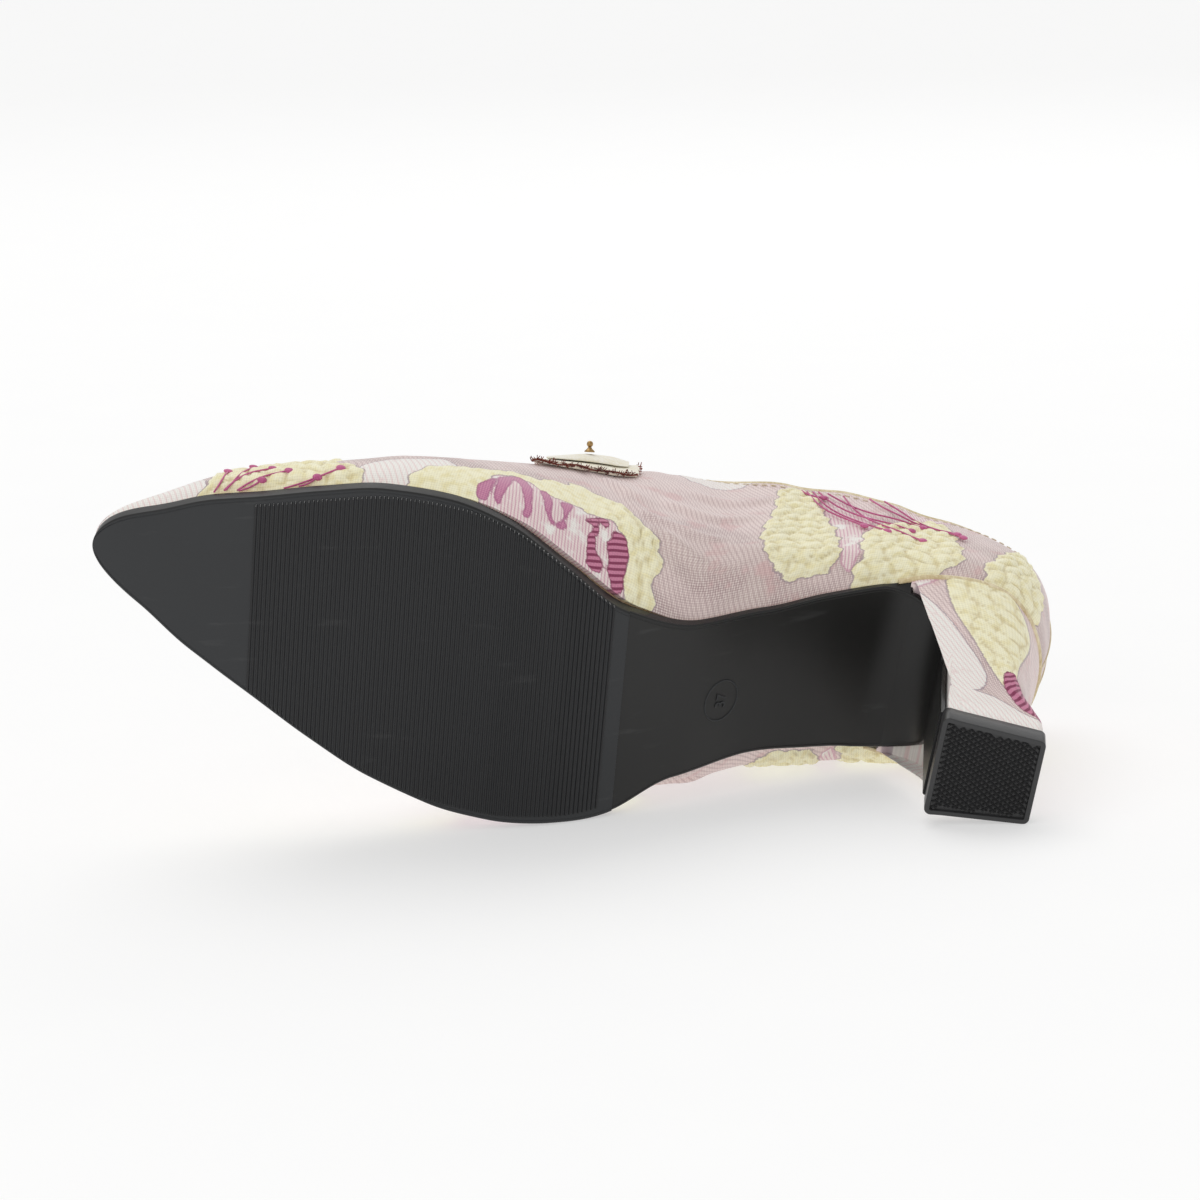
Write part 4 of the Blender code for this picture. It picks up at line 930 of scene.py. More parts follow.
def makeUpper():
    along = upperStations()
    steps = np.linspace(0.0, 1.0, upperLook["steps"] + 1)
    inner = np.linspace(0.0, 1.0, upperLook["innerSteps"] + 1)
    pm, nm = sideGrid(along, steps, 1)
    pl, nl = sideGrid(along, steps, -1)
    sharedNormals(nm, nl, along)
    im, jm = sideGrid(along, inner, 1)
    il, jl = sideGrid(along, inner, -1)
    sharedNormals(jm, jl, along)
    middle = (section("swing", along) + (section("ridge", along) - section("swing", along)) * 0.5)[:, None]
    allPoints, faces, paints, uvs = [], [], [], []
    depths = {kind: [] for kind in paintKinds}
    valleyShadeMasks = []
    a, s = np.meshgrid(along, steps, indexing="ij")
    start = 0
    for side, outer, normal, inside, inward in ((1, pm, nm, im, jm), (-1, pl, nl, il, jl)):
        u, v = chartOf(a.ravel(), s.ravel(), side)
        found = paintDepths(u, v)
        top = np.interp(u, chartRound, chartTotal)
        behind = planX(a.ravel(), 1.0) < shoe["throatReach"]
        girth = np.interp(a.ravel(), chartAlong, (girthMedial if side > 0 else girthLateral)[:, -1])
        own = v if side > 0 else top - v
        reach = np.where(behind, girth, 2.0 * girth)
        lift = clothLift(u, own, reach, found)
        places = outer.reshape(-1, 3)
        underBow = np.abs(places[:, 0] - upperLook["bowPlace"]) < upperLook["bowHalf"]
        underBow = underBow & (1.0 - s.ravel() < upperLook["bowReach"])
        lift = np.where(underBow, np.minimum(lift, 0.0), lift)
        points = places + normal.reshape(-1, 3) * lift[:, None]
        rows, columns = outer.shape[:2]
        allPoints.append(points)
        faces += gridFaces(rows, columns, start=start, flip=side < 0)
        paints += [0] * ((rows - 1) * (columns - 1))
        uvs.append(np.stack([u, v], axis=1))
        for kind in depths:
            depths[kind].append(found[kind])
        # mask of the pucker valleys, where shade is painted on the cream
        valleyShadeMasks.append((1.0 - softStep(puckerOf(u, v), 0.05, 0.5)) * softStep(found["cream"], 0.3, 1.2) * calmOf(u))
        lining = inside - inward * shoe["wall"]
        off = side * (lining[..., 1] - middle)
        lining[..., 1] = middle + side * np.maximum(off, 0.0)
        innerStart = start + rows * columns
        innerColumns = lining.shape[1]
        allPoints.append(lining.reshape(-1, 3))
        faces += gridFaces(rows, innerColumns, start=innerStart, flip=side > 0)
        paints += [1] * ((rows - 1) * (innerColumns - 1))
        hidden = np.zeros((rows * innerColumns, 2))
        hidden[::innerColumns] = uvs[-1][::columns]
        uvs.append(hidden)
        for kind in depths:
            hidden = np.full(rows * innerColumns, -7.0)
            hidden[::innerColumns] = found[kind][::columns]
            depths[kind].append(hidden)
        valleyShadeMasks.append(np.zeros(rows * innerColumns))
        closed = section("top", along) > 0.5 * np.pi - 1e-3
        for i in range(rows - 1):
            edges = [(0, 0)] + ([(columns - 1, innerColumns - 1)] if not (closed[i] and closed[i + 1]) else [])
            for outerColumn, innerColumn in edges:
                faces.append((start + i * columns + outerColumn, start + (i + 1) * columns + outerColumn,
                              innerStart + (i + 1) * innerColumns + innerColumn,
                              innerStart + i * innerColumns + innerColumn))
                paints.append(1 if outerColumn else 0)
        start = innerStart + rows * innerColumns
    points = laid(np.concatenate(allPoints))
    attributes = {kind + "Inside": np.concatenate(depths[kind]) for kind in depths}
    attributes["puckerShade"] = np.concatenate(valleyShadeMasks)
    obj = newPiece("upper_cloth", points, faces, [jacquard, liningLeather], paints, 60.0,
                   uv=np.concatenate(uvs), attributes=attributes)
    return finish(obj, "jacquard_cloth", "upper")


def onUpper(u, v, lift=0.0):
    along, step, side = fromChart(u, v)
    point = upperPoint(along, step, side)
    normal = upperNormal(np.array(along), np.array(step), np.array(side))
    return point + normal * lift, normal


stamenLook = {"steps": 22, "mirrorBack": 5.0, "mirrorUp": 2.0, "margin": 4.0, "proud": 0.00090, "radius": 0.00024}


def makeStamens():
    look = stamenLook
    lines, tips, outs = [], [], []
    for u0, v0, u1, v1, bend in stamens:
        for mirrored in (False, True):
            line = []
            length = math.hypot(u1 - u0, v1 - v0)
            for t in np.linspace(0.0, 1.0, look["steps"]):
                bow = bend * math.sin(math.pi * t)
                u = u0 + (u1 - u0) * t - (v1 - v0) / length * bow
                v = v0 + (v1 - v0) * t + (u1 - u0) / length * bow
                if mirrored:
                    u -= look["mirrorBack"]
                    v = float(np.interp(u, chartRound, chartTotal)) - v + look["mirrorUp"]
                if v < 0.6 or v > float(np.interp(u, chartRound, chartTotal)) - look["margin"]:
                    continue
                point, normal = onUpper(u, v, look["proud"])
                line.append(point)
            if len(line) > 3:
                lines.append(line)
                tips.append(line[-1])
                outs.append(normal)
    fromTree("stamen_threads", lineRail(lines), thread, {"Radius": look["radius"], "Sides": 5}, silkThread,
             "jacquard_cloth")
    count = len(tips)
    rail = pointRail(tips, np.tile((1.0, 0.0, 0.0), (count, 1)), outs, np.ones((count, 3)))
    fromTree("stamen_tips", rail, knot, {"Size": (0.0012, 0.0010, 0.00055)}, silkThread, "jacquard_cloth")


collarLook = {"fine": 150, "radius": 0.00125, "stitchIn": 3.0, "stitchPitch": 0.0024, "stitchProud": 0.00012,
              "stitch": (0.00085, 0.00022, 0.0002)}


def collarPath():
    fine = collarLook["fine"]
    along = throat * 0.5 * (1.0 - np.cos(np.linspace(0.0, np.pi, fine)))
    medial, lateral = (upperPoint(along, 1.0, side) - upperNormal(along, np.ones(fine) * 0.995, np.ones(fine) * side)
                       * 0.5 * shoe["wall"] for side in (1.0, -1.0))
    path = np.concatenate([medial[:-1], lateral[::-1][:-1]])
    for k in range(3):
        path = 0.25 * np.roll(path, 1, axis=0) + 0.5 * path + 0.25 * np.roll(path, -1, axis=0)
    return path


def makeCollar():
    look = collarLook
    fromTree("collar_binding", lineRail([collarPath()], closed=True), thread,
             {"Radius": look["radius"], "Sides": 12}, goldenCream, "jacquard_cloth")
    points, ways, outs = [], [], []
    for side in (1.0, -1.0):
        along = np.linspace(0.004, throat * 0.999, 900)
        table = girthMedial if side > 0 else girthLateral
        steps = []
        for value in along:
            index = int(round(value * (len(chartAlong) - 1)))
            steps.append(np.interp(table[index, -1] - look["stitchIn"], table[index], chartSteps))
        steps = np.convolve(np.pad(steps, 12, mode="edge"), np.ones(25) / 25.0, mode="valid")
        line = upperPoint(along, steps, side)
        out = upperNormal(along, steps, np.full(len(along), side))
        places, run, here, way = spacedAlong(line, 0.001, look["stitchPitch"], 0.0006)
        normal = np.stack([np.interp(places, run, out[:, k]) for k in range(3)], axis=1)
        points += list(here + normal * look["stitchProud"])
        ways += list(way)
        outs += list(normal)
    rail = pointRail(points, ways, outs, np.ones((len(points), 3)))
    fromTree("collar_stitches", rail, knot, {"Size": look["stitch"]}, paleThread, "jacquard_cloth")


def makeBackSeam():
    lines = []
    for side in (-1.0, 1.0):
        steps = np.linspace(0.02, 0.98, 60)
        along = np.full(60, 0.0006)
        points = upperPoint(along, steps, side) + upperNormal(along, steps, np.full(60, side)) * 0.0001
        lines.append(points)
    fromTree("back_seam_threads", lineRail(lines), thread, {"Radius": 0.00025, "Sides": 6}, goldenCream,
             "jacquard_cloth")


makeUpper()
makeStamens()
print("upper and its stamens ready")
makeCollar()
makeBackSeam()
print("collar ready")

# Outsole with its rounded edge, groove and ribs
soleLook = {"ribEndGlint": (0.0003, 0.00022, 0.00036),
            "toeStations": 210, "waistStations": 90, "turnSteps": 40, "flapSteps": 26, "lean": 4.2,
            "edgeRound": 0.00060, "grooveIn": 0.0008, "grooveWidth": 0.0004, "grooveDepth": 0.00014,
            "ribPitch": 0.00105, "ribCount": 84, "ribFirst": 0.1088, "ribHeight": 0.00034, "ribWide": 0.00031,
            "ribInMedial": 0.0012, "ribInLateral": 0.0020}
heelLook = {"pieceLength": 0.0252, "pieceFront": 0.0264, "pieceBack": 0.0228, "pieceThick": 0.0060,
            "pieceInset": 0.0042, "pieceCorner": 0.0016, "flare": 0.0040, "reveal": 0.0006,
            "flapReveal": 0.0012, "flapSpread": 0.66, "turnSteps": 10, "seatSteps": 3,
            "petalRise": 0.0002, "pucker": 0.0003, "patchRise": 0.00012}

# height, draw, spread of the heel block from its foot to the seat
heelRows = np.array([(0.00, 0.00, 0.00), (0.10, 0.02, 0.03), (0.20, 0.42, 0.12), (0.32, 0.90, 0.24),
                     (0.50, 0.85, 0.43), (0.70, 0.45, 0.66), (0.87, 0.15, 0.86), (1.00, 0.00, 1.00)])


def footFront():
    return heelLook["pieceInset"] + heelLook["pieceLength"] - heelLook["reveal"]


def turnPoint(share):
    angle = 0.5 * np.pi * share
    x = shoe["breastReach"] - (shoe["breastReach"] - footFront() - shoe["flap"]) * np.sin(angle)
    return x, underside(x) - shoe["breastDrop"] * (1.0 - np.cos(angle))


def flapHalf(x, z):
    foot = heelLook["pieceThick"]
    share = (z - foot) / (underside(x) - foot)
    share = np.clip((share - heelLook["flapSpread"]) / (1.0 - heelLook["flapSpread"]), 0.0, 1.0)
    narrow = 0.5 * heelLook["pieceFront"] - heelLook["reveal"] - heelLook["flapReveal"]
    return narrow + (halfWidth(planAlong(shoe["breastReach"])) - narrow) * share


def leanAt(x, offset):                         # the ribs and the step behind them lean a little
    weight = np.exp(-np.maximum(shoe["treadReach"] - x, 0.0) ** 2 / 0.012 ** 2)
    weight = weight * np.exp(-np.maximum(x - 0.205, 0.0) ** 2 / 0.01 ** 2)
    return math.tan(math.radians(soleLook["lean"])) * offset * weight


def soleSections():
    treadShare, breastShare = planAlong(shoe["treadReach"]), planAlong(shoe["breastReach"])
    tread = treadShare + (1.0 - treadShare) * np.cos(np.linspace(0.0, 0.5 * np.pi, soleLook["toeStations"]))[::-1]
    rows = [(share, shoe["treadStep"], 0.0) for share in tread[::-1]]
    rows += [(share, 0.0, 1.0) for share in np.linspace(treadShare, breastShare, soleLook["waistStations"])]
    return rows


def acrossProfile(half):                       # inset from the side and depth, from the upper edge round
    r, g, w, d = (soleLook[name] for name in ("edgeRound", "grooveIn", "grooveWidth", "grooveDepth"))
    fit = min(1.0, half / 0.004)
    arc = [(r * (1.0 - math.cos(t)), r * (1.0 - math.sin(t))) for t in np.linspace(0.0, 0.5 * math.pi, 6)]
    groove = [(g, 0.0), (g + 0.25 * w, 0.8 * d), (g + 0.5 * w, d), (g + 0.75 * w, 0.8 * d), (g + w, 0.0)]
    return [(inset * fit, depth * fit) for inset, depth in arc + groove]


def makeOutsole():
    rings, waist = [], []
    edge = [1.0] * 4 + [0.5] + [0.0] * 12 + [0.5] + [1.0] * 6
    for share, proud, isWaist in soleSections():
        x, half, middle = planX(share), float(halfWidth(share)), float(swing(share))
        profile = acrossProfile(half)
        ring = []
        for side in (1.0, -1.0):
            places = profile if side > 0 else profile[::-1]
            for inset, depth in places:
                y = side * max(half - inset, 0.0)
                actual = x + leanAt(x, y)
                ring.append((actual, middle + y, float(underside(actual)) - proud + depth))
        for side in (-1.0, 1.0):
            y = side * half
            actual = x + leanAt(x, y)
            ring.append((actual, middle + y, float(footbed(actual))))
        rings.append(ring)
        waist.append(isWaist)
    for share in np.linspace(0.0, 1.0, soleLook["turnSteps"] + 1)[1:]:
        x, z = turnPoint(share)
        thick = shoe["waist"] + (shoe["flap"] - shoe["waist"]) * share
        angle = 0.5 * math.pi * share
        high = (x - thick * math.sin(angle), z + thick * math.cos(angle))
        if share <= heelLook["seatSteps"] / heelLook["turnSteps"] + 1e-6:
            high = (x, float(footbed(x)))
        way = np.array([high[0] - x, high[1] - z])
        way /= np.linalg.norm(way)
        half = float(flapHalf(x, z))
        profile = acrossProfile(half)
        ring = []
        for side in (1.0, -1.0):
            for inset, depth in (profile if side > 0 else profile[::-1]):
                shallow = depth * (1.0 - share) if inset > soleLook["edgeRound"] * 1.01 else depth
                ring.append((x + way[0] * shallow, side * (half - inset), z + way[1] * shallow))
        if share <= 0.3:
            half = max(half, float(halfWidth(planAlong(high[0]))) - 0.0001)
        ring += [(high[0], -half, high[1]), (high[0], half, high[1])]
        rings.append(ring)
        waist.append(1.0)
    startX, startZ = turnPoint(1.0)
    foot = heelLook["pieceThick"] + shoe["gap"]
    for share in np.linspace(0.0, 1.0, soleLook["flapSteps"] + 1)[1:]:
        z = startZ + (foot - startZ) * share
        half = float(flapHalf(startX, z))
        ring = []
        profile = acrossProfile(half)
        for side in (1.0, -1.0):
            for inset, depth in (profile if side > 0 else profile[::-1]):
                shallow = depth if inset <= soleLook["edgeRound"] * 1.01 else 0.0
                ring.append((startX - shallow, side * (half - inset), z))
        ring += [(startX - shoe["flap"], -half, z), (startX - shoe["flap"], half, z)]
        rings.append(ring)
        waist.append(1.0)
    rings = np.array(rings)
    rows, columns = rings.shape[:2]
    faces = gridFaces(rows, columns, wrap=True)
    faces.append(tuple(range((rows - 1) * columns, rows * columns)))
    inside = len(soleSections()) - 1               # rows whose upper face is the inside of the shoe
    paints = [1 if i < inside and j == columns - 2 else 0 for i in range(rows - 1) for j in range(columns)] + [0]
    obj = newPiece("outsole_moulded", laid(rings.reshape(-1, 3)), faces, [soleRubber, liningLeather], paints, 38.0,
                   attributes={"waist": np.repeat(waist, columns), "edge": np.tile(edge, rows)})
    return finish(obj, "sole_rubber", "outsole")


def makeRibs():
    points, ways, outs, grows = [], [], [], []
    lean = math.radians(soleLook["lean"])
    for i in range(soleLook["ribCount"]):
        x = soleLook["ribFirst"] + i * soleLook["ribPitch"]
        share = float(planAlong(x))
        half, middle = float(halfWidth(share)), float(swing(share))
        medial = float(halfWidth(planAlong(x + half * math.tan(lean)))) - soleLook["ribInMedial"]
        lateral = float(halfWidth(planAlong(x - half * math.tan(lean)))) - soleLook["ribInLateral"]
        lateral += (float(swing(planAlong(x))) - float(swing(planAlong(x - half * math.tan(lean)))))
        length = medial + lateral
        y = 0.5 * (medial - lateral)
        centre = x + leanAt(x, y)
        slope = float(underside(x + 5e-4) - underside(x - 5e-4)) / 1e-3
        points.append((centre, middle + y, float(underside(centre)) - shoe["treadStep"] - 0.00002))
        ways.append((math.sin(lean), math.cos(lean), slope * math.sin(lean)))
        outs.append((slope, 0.0, -1.0))
        grows.append((length / math.cos(lean) * 0.5, 1.0, 1.0))
    bar = layTree("roundBarOnPoints", "GeometryNodeMeshCylinder",
                  {"Vertices": 12, "Radius": 1.0, "Depth": 2.0}, turn=(0.0, 0.5 * math.pi, 0.0))
    obj = fromTree("tread_ribs", pointRail(points, ways, outs, grows), bar,
                   {"Size": (1.0, soleLook["ribWide"], soleLook["ribHeight"])}, ribShadedRubber, "sole_rubber")
    obj.data.set_sharp_from_angle(angle=math.radians(50.0))
    # small pale pips at the ribs' ends carry a painted highlight
    ends = [np.array(p) + np.array(w) / np.linalg.norm(w) * (g[0] - 0.0002) for p, w, g in zip(points, ways, grows)]
    rail = pointRail(ends, ways, outs, np.ones((len(ends), 3)))
    fromTree("tread_rib_ends", rail, knot, {"Size": soleLook["ribEndGlint"]}, ribGlintRubber, "sole_rubber")


markLook = {"middle": (0.0813, -0.0059), "half": (0.00375, 0.0056), "line": 0.00022, "digits": "37",
            "height": 0.0042, "proud": 0.00024}


def ovalMark():                                # the size number in a faint oval
    middle, half = markLook["middle"], markLook["half"]
    ring = []
    for t in np.linspace(0.0, 2.0 * math.pi, 60, endpoint=False):
        x, y = middle[0] + half[0] * math.cos(t), middle[1] + half[1] * math.sin(t)
        ring.append((x, y, float(underside(x)) - 0.00002))
    fromTree("size_mark_ring", lineRail([ring], closed=True), thread, {"Radius": markLook["line"], "Sides": 6},
             soleRubber, "sole_rubber")
    curve = bpy.data.curves.new("sizeNumber", "FONT")
    curve.body = markLook["digits"]
    curve.size = markLook["height"]
    curve.extrude = markLook["proud"]
    curve.align_x, curve.align_y = "CENTER", "CENTER"
    text = bpy.data.objects.new("size_number_text", curve)
    scene.collection.objects.link(text)
    graph = bpy.context.evaluated_depsgraph_get()
    mesh = bpy.data.meshes.new_from_object(text.evaluated_get(graph))
    bpy.data.objects.remove(text, do_unlink=True)
    slope = float(underside(middle[0] + 1e-3) - underside(middle[0] - 1e-3)) / 2e-3
    down = Vector((slope, 0.0, -1.0)).normalized()
    reading = Vector((0.0, 1.0, 0.0))          # along the digits, to the medial side
    upright = down.cross(reading).normalized()
    stand = Matrix((reading, upright, down)).transposed().to_4x4()
    place = Matrix.Translation((middle[0], middle[1], float(underside(middle[0])))) @ stand
    mesh.transform(lying @ place)
    mesh.materials.clear()
    mesh.materials.append(soleRubber)
    obj = bpy.data.objects.new("size_number", mesh)
    scene.collection.objects.link(obj)
    finish(obj, "sole_rubber")


makeOutsole()
makeRibs()
ovalMark()
print("sole ready")


# Heel block in its cloth, the rolled lip above it, and the rubber lift with its knurl
# A place round the foot: 0 is the front corner, 6 to 10 the round corner and 11 the back
def footPoint(s, outset):
    front = heelLook["pieceInset"] + heelLook["pieceLength"] + outset
    back = heelLook["pieceInset"] - outset
    wide, narrow = 0.5 * heelLook["pieceFront"] + outset, 0.5 * heelLook["pieceBack"] + outset
    corner = heelLook["pieceCorner"] + outset
    if s < 6.0:
        share = s / 6.0
        return front + (back + corner - front) * share, wide + (narrow - wide) * share
    if s <= 10.0:
        angle = 0.5 * math.pi * (s - 6.0) / 4.0
        return back + corner - corner * math.sin(angle), narrow - corner + corner * math.cos(angle)
    return back, (narrow - corner) * (11.0 - s)


def seatPoint(s):
    x, _ = turnPoint(heelLook["seatSteps"] / heelLook["turnSteps"])
    share = float(planAlong(x + 0.0008)) * math.cos(0.5 * math.pi * s / 11.0) ** 2
    return float(planX(share)), float(halfWidth(share))


def heelFrontTable():
    share = np.linspace(0.0, 1.0, 41)
    x, low = turnPoint(share)
    back = shoe["waist"] + (shoe["flap"] - shoe["waist"]) * share + 2.0 * shoe["gap"]
    angle = 0.5 * np.pi * share
    return (low + back * np.cos(angle))[::-1], (x - back * np.sin(angle))[::-1]


heelFrontZ, heelFrontX = heelFrontTable()


def heelPoint(s, height):
    draw = heelLook["flare"] * float(smoothThrough(heelRows[:, 0], heelRows[:, 1], height))
    spread = float(smoothThrough(heelRows[:, 0], heelRows[:, 2], height))
    base = heelLook["pieceThick"] + shoe["gap"]
    front, back = footPoint(0.0, -heelLook["reveal"])[0], footPoint(11.0, -heelLook["reveal"])[0]

    def corner(place):
        footX, footY = footPoint(place, -heelLook["reveal"])
        seatX, seatY = seatPoint(place)
        z = base + (float(footbed(seatX)) - base) * height
        x = footX + (seatX - footX) * spread + draw * (front - footX) / (front - back)
        if place == 0.0:
            x = min(float(np.interp(z, heelFrontZ, heelFrontX)), seatX)
        return np.array((x, footY + (seatY - footY) * spread, z))

    if s >= 1.0:
        return corner(s)
    return corner(0.0) * (1.0 - s) + corner(1.0) * s


heelMotifs = [
    ("white", [(42, 48), (35, 44), (30, 34), (27, 22), (33, 16), (41, 18), (44, 32)]),
    ("white", [(42, 14), (30, 16), (22, 12), (12, 10), (6, 4), (14, -4), (42, -4)]),
    ("pink", [(54, 62), (40, 62), (28, 60), (31, 51), (40, 47), (54, 48)]),
    ("cream", [(29, 53), (24, 57), (17, 54), (13, 46), (14, 36), (17, 26), (20, 16), (24, 22), (27, 32),
               (30, 42)]),
    ("magenta", [(22, 24), (18, 25), (15, 18), (14, 11), (19, 12), (23, 15)]),
]


def makeHeelBlock():
    places = np.concatenate([np.linspace(0.0, 6.0, 40)[:-1], np.linspace(6.0, 11.0, 40)])
    heights = np.linspace(0.0, 1.0, 72)
    half = np.array([[heelPoint(s, h) for s in places] for h in heights])
    other = half[:, ::-1][:, 1:] * np.array((1.0, -1.0, 1.0))
    rings = np.concatenate([half, other], axis=1)
    rows, columns = rings.shape[:2]
    level = rings[rows // 2]
    run = np.concatenate([[0.0], np.cumsum(np.linalg.norm(np.diff(level, axis=0), axis=1))]) * 1000.0
    u = np.abs(run[len(places) - 1] - run)[None, :] * np.ones((rows, 1))
    v = rings[..., 2] * 1000.0
    depths = {kind: np.full(rows * columns, -7.0) for kind in paintKinds}
    for kind, points in heelMotifs:
        depths[kind] = np.maximum(depths[kind], insideDepth(u.ravel(), v.ravel(), closedCurve(points)))
    normal = np.cross(np.roll(rings, -1, axis=1) - np.roll(rings, 1, axis=1), np.gradient(rings, axis=0))
    normal /= np.maximum(np.linalg.norm(normal, axis=-1, keepdims=True), 1e-9)
    puckers = puckerOf(u.ravel(), v.ravel())
    lift = heelLook["petalRise"] * softStep(depths["cream"], -0.3, 1.2)
    lift += heelLook["pucker"] * puckers * softStep(depths["cream"], 0.2, 1.6)
    lift += heelLook["patchRise"] * softStep(np.maximum(depths["pink"], depths["white"]), -0.2, 0.8)
    fade = softStep(v.ravel(), 7.0, 9.0) * softStep(57.0 - v.ravel(), 0.0, 3.0)
    front = np.minimum(np.arange(columns), np.arange(columns)[::-1])
    fade *= softStep(np.tile(front, rows).astype(float), 3.0, 8.0)
    points = rings.reshape(-1, 3) + normal.reshape(-1, 3) * (lift * fade)[:, None]
    faces = gridFaces(rows, columns, wrap=True)
    faces += [tuple(range(columns)), tuple(range((rows - 1) * columns, rows * columns))]
    attributes = {kind + "Inside": depth for kind, depth in depths.items()}
    # mask of the pucker valleys, where shade is painted on the cream
    attributes["puckerShade"] = (1.0 - softStep(puckers, 0.05, 0.55)) * softStep(depths["cream"], 0.3, 1.2)
    obj = newPiece("heel_cover", laid(points), faces, [jacquard], smoothAngle=50.0,
                   uv=np.stack([u.ravel() + 300.0, v.ravel()], axis=1), attributes=attributes)
    return finish(obj, "jacquard_cloth", "heel_block")


def makeLip():
    x, _ = turnPoint(heelLook["seatSteps"] / heelLook["turnSteps"])
    front = float(planAlong(x + 0.004))
    share = front * 0.5 * (1.0 + np.cos(np.linspace(0.0, np.pi, 90)))
    medial = np.stack([planX(share), halfWidth(share) + 0.0001, footbed(planX(share)) + 0.0001], axis=1)
    lateral = medial[::-1][1:] * np.array((1.0, -1.0, 1.0))
    fromTree("rolled_lip", lineRail([np.concatenate([medial, lateral])]), thread,
             {"Radius": 0.00065, "Sides": 10}, goldenCream, "jacquard_cloth")


liftLook = {"border": 0.0011, "recess": 0.0008, "bevel": 0.00025, "pitchX": 0.00200, "pitchY": 0.00150}


def liftOutline(inset):
    front, wide = footPoint(0.0, -inset)
    corner = max(heelLook["pieceCorner"] - inset, 0.0004)
    half = [(front, 0.0)]
    half += [(front - corner + corner * math.sin(t), wide - corner + corner * math.cos(t))
             for t in np.linspace(0.5 * math.pi, 0.0, 9)]
    half += [footPoint(s, -inset) for s in list(np.linspace(1.0, 6.0, 8)) + list(np.linspace(6.4, 10.0, 10))]
    half += [footPoint(11.0, -inset)]
    return half + [(x, -y) for x, y in reversed(half[1:-1])]


def makeLift():
    look = liftLook
    thick = heelLook["pieceThick"]
    levels = [(look["border"] + 0.0003, look["recess"]), (look["border"] + 0.0001, 0.00005)]
    levels += [(look["border"] - 0.0001, 0.0)]
    levels += [(look["bevel"] * (1.0 - math.sin(t)), look["bevel"] * (1.0 - math.cos(t)))
               for t in np.linspace(0.0, 0.5 * math.pi, 5)]
    levels += [(0.0, 0.5 * thick), (0.0, thick - 0.0003), (0.0002, thick)]
    rings = np.array([[(x, y, z) for x, y in liftOutline(inset)] for inset, z in levels])
    ringBody("heel_lift", rings, liftRubber, "sole_rubber", "top_piece", smoothAngle=45.0)
    points = []
    inner = np.array(liftOutline(look["border"] + 0.0008))
    rows = int(0.03 / look["pitchX"])
    for i in range(-1, 2 * rows):
        for j in range(-24, 25):
            x = heelLook["pieceInset"] + i * 0.5 * look["pitchX"]
            y = (j + 0.5 * (i % 2)) * look["pitchY"]
            if insideDepth(np.array([x]), np.array([y]), inner, far=0.05)[0] > 0.0:
                points.append((x, y, look["recess"]))
    count = len(points)
    cone = layTree("pyramidOnPoints", "GeometryNodeMeshCone",
                   {"Vertices": 4, "Radius Top": 0.25, "Radius Bottom": 1.0, "Depth": 1.0}, soft=False)
    rail = pointRail(points, np.tile((1.0, 0.0, 0.0), (count, 1)), np.tile((0.0, 0.0, -1.0), (count, 1)),
                     np.ones((count, 3)))
    size = (0.5 * look["pitchX"] * 0.96, 0.5 * look["pitchY"] * 0.96, look["recess"])
    fromTree("lift_knurl", rail, cone, {"Size": size}, liftRubber, "sole_rubber")


makeHeelBlock()
makeLip()
makeLift()
print("heel ready")

# Insole sock with its edge stitching
insoleLook = {"back": 0.0027, "toe": 0.0054, "side": 0.0034, "thick": 0.0016, "square": 3.0, "stations": 150,
              "stitchPitch": 0.0030}


def makeInsole():
    look = insoleLook
    back, front = float(planX(0.0)) + look["back"], float(planX(1.0)) - look["toe"]
    rings, medialLine, lateralLine = [], [], []
    for t in 0.5 * (1.0 - np.cos(np.pi * np.linspace(0.0, 1.0, look["stations"]))):
        x = back + (front - back) * t
        along = float(planAlong(x))
        end = min(1.0, look["square"] * math.sqrt(max(1.0 - (2.0 * t - 1.0) ** 2, 0.0)))
        half = max(float(halfWidth(along)) - look["side"], 0.0) * end
        low = float(footbed(x)) + shoe["gap"]
        middle = float(swing(along))
        r = min(0.0007, 0.3 * half)
        top = low + look["thick"]
        right = [(half, low), (half, top - r), (half - 0.3 * r, top - 0.3 * r), (half - r, top), (0.5 * half, top)]
        rings.append([(x, middle + y, z) for y, z in right] + [(x, middle - y, z) for y, z in reversed(right)])
        if 0.02 < t < 0.985:
            medialLine.append((x, middle + half - 0.0028, top))
            lateralLine.append((x, middle - half + 0.0028, top))
    ringBody("insole_sock", np.array(rings), sockLeather, "sock_lining", "insole", capped=False)
    places, _, points, ways = spacedAlong(medialLine + lateralLine[::-1], 0.0, look["stitchPitch"], 0.0005)
    count = len(places)
    rail = pointRail(points, ways, np.tile((0.0, 0.0, 1.0), (count, 1)), np.ones((count, 3)))
    fromTree("insole_stitches", rail, knot, {"Size": (0.0011, 0.00022, 0.00022)}, paleThread, "sock_lining")


makeInsole()
print("insole ready")

# Bow across the vamp
bowLook = {"middle": 0.1225, "width": 0.025, "knotWidth": 0.011, "ribbon": 0.0012, "loopHeight": 0.0022,
           "knotHeight": 0.0034, "tailReach": 0.56, "loopReach": 0.50, "loopStart": 0.13, "knotGap": 0.02,
           "pinch": 0.60, "loopShare": 0.78, "loopRoot": 0.35, "loopMouth": 0.38, "loopWall": 0.42,
           "loopEndWall": 0.12, "knotEdge": 0.20}


def vampPoint(x, across, lift):                # across runs from -1 to 1 over the vamp
    x, across, lift = np.broadcast_arrays(np.asarray(x, float), across, lift)
    along = (x - backAt(1.0)) / (frontAt(1.0) - backAt(1.0))
    side = np.where(across >= 0.0, 1.0, -1.0)
    step = 1.0 - np.abs(across)
    here = upperPoint(along, step, side)
    near = np.minimum(step, 0.985)
    medial = upperNormal(along, near, np.ones(along.shape))
    lateral = upperNormal(along, near, -np.ones(along.shape))
    share = np.clip(0.5 + across / 0.06, 0.0, 1.0)[..., None]
    normal = medial * share + lateral * (1.0 - share)
    return here + normal / np.linalg.norm(normal, axis=-1, keepdims=True) * lift[..., None]


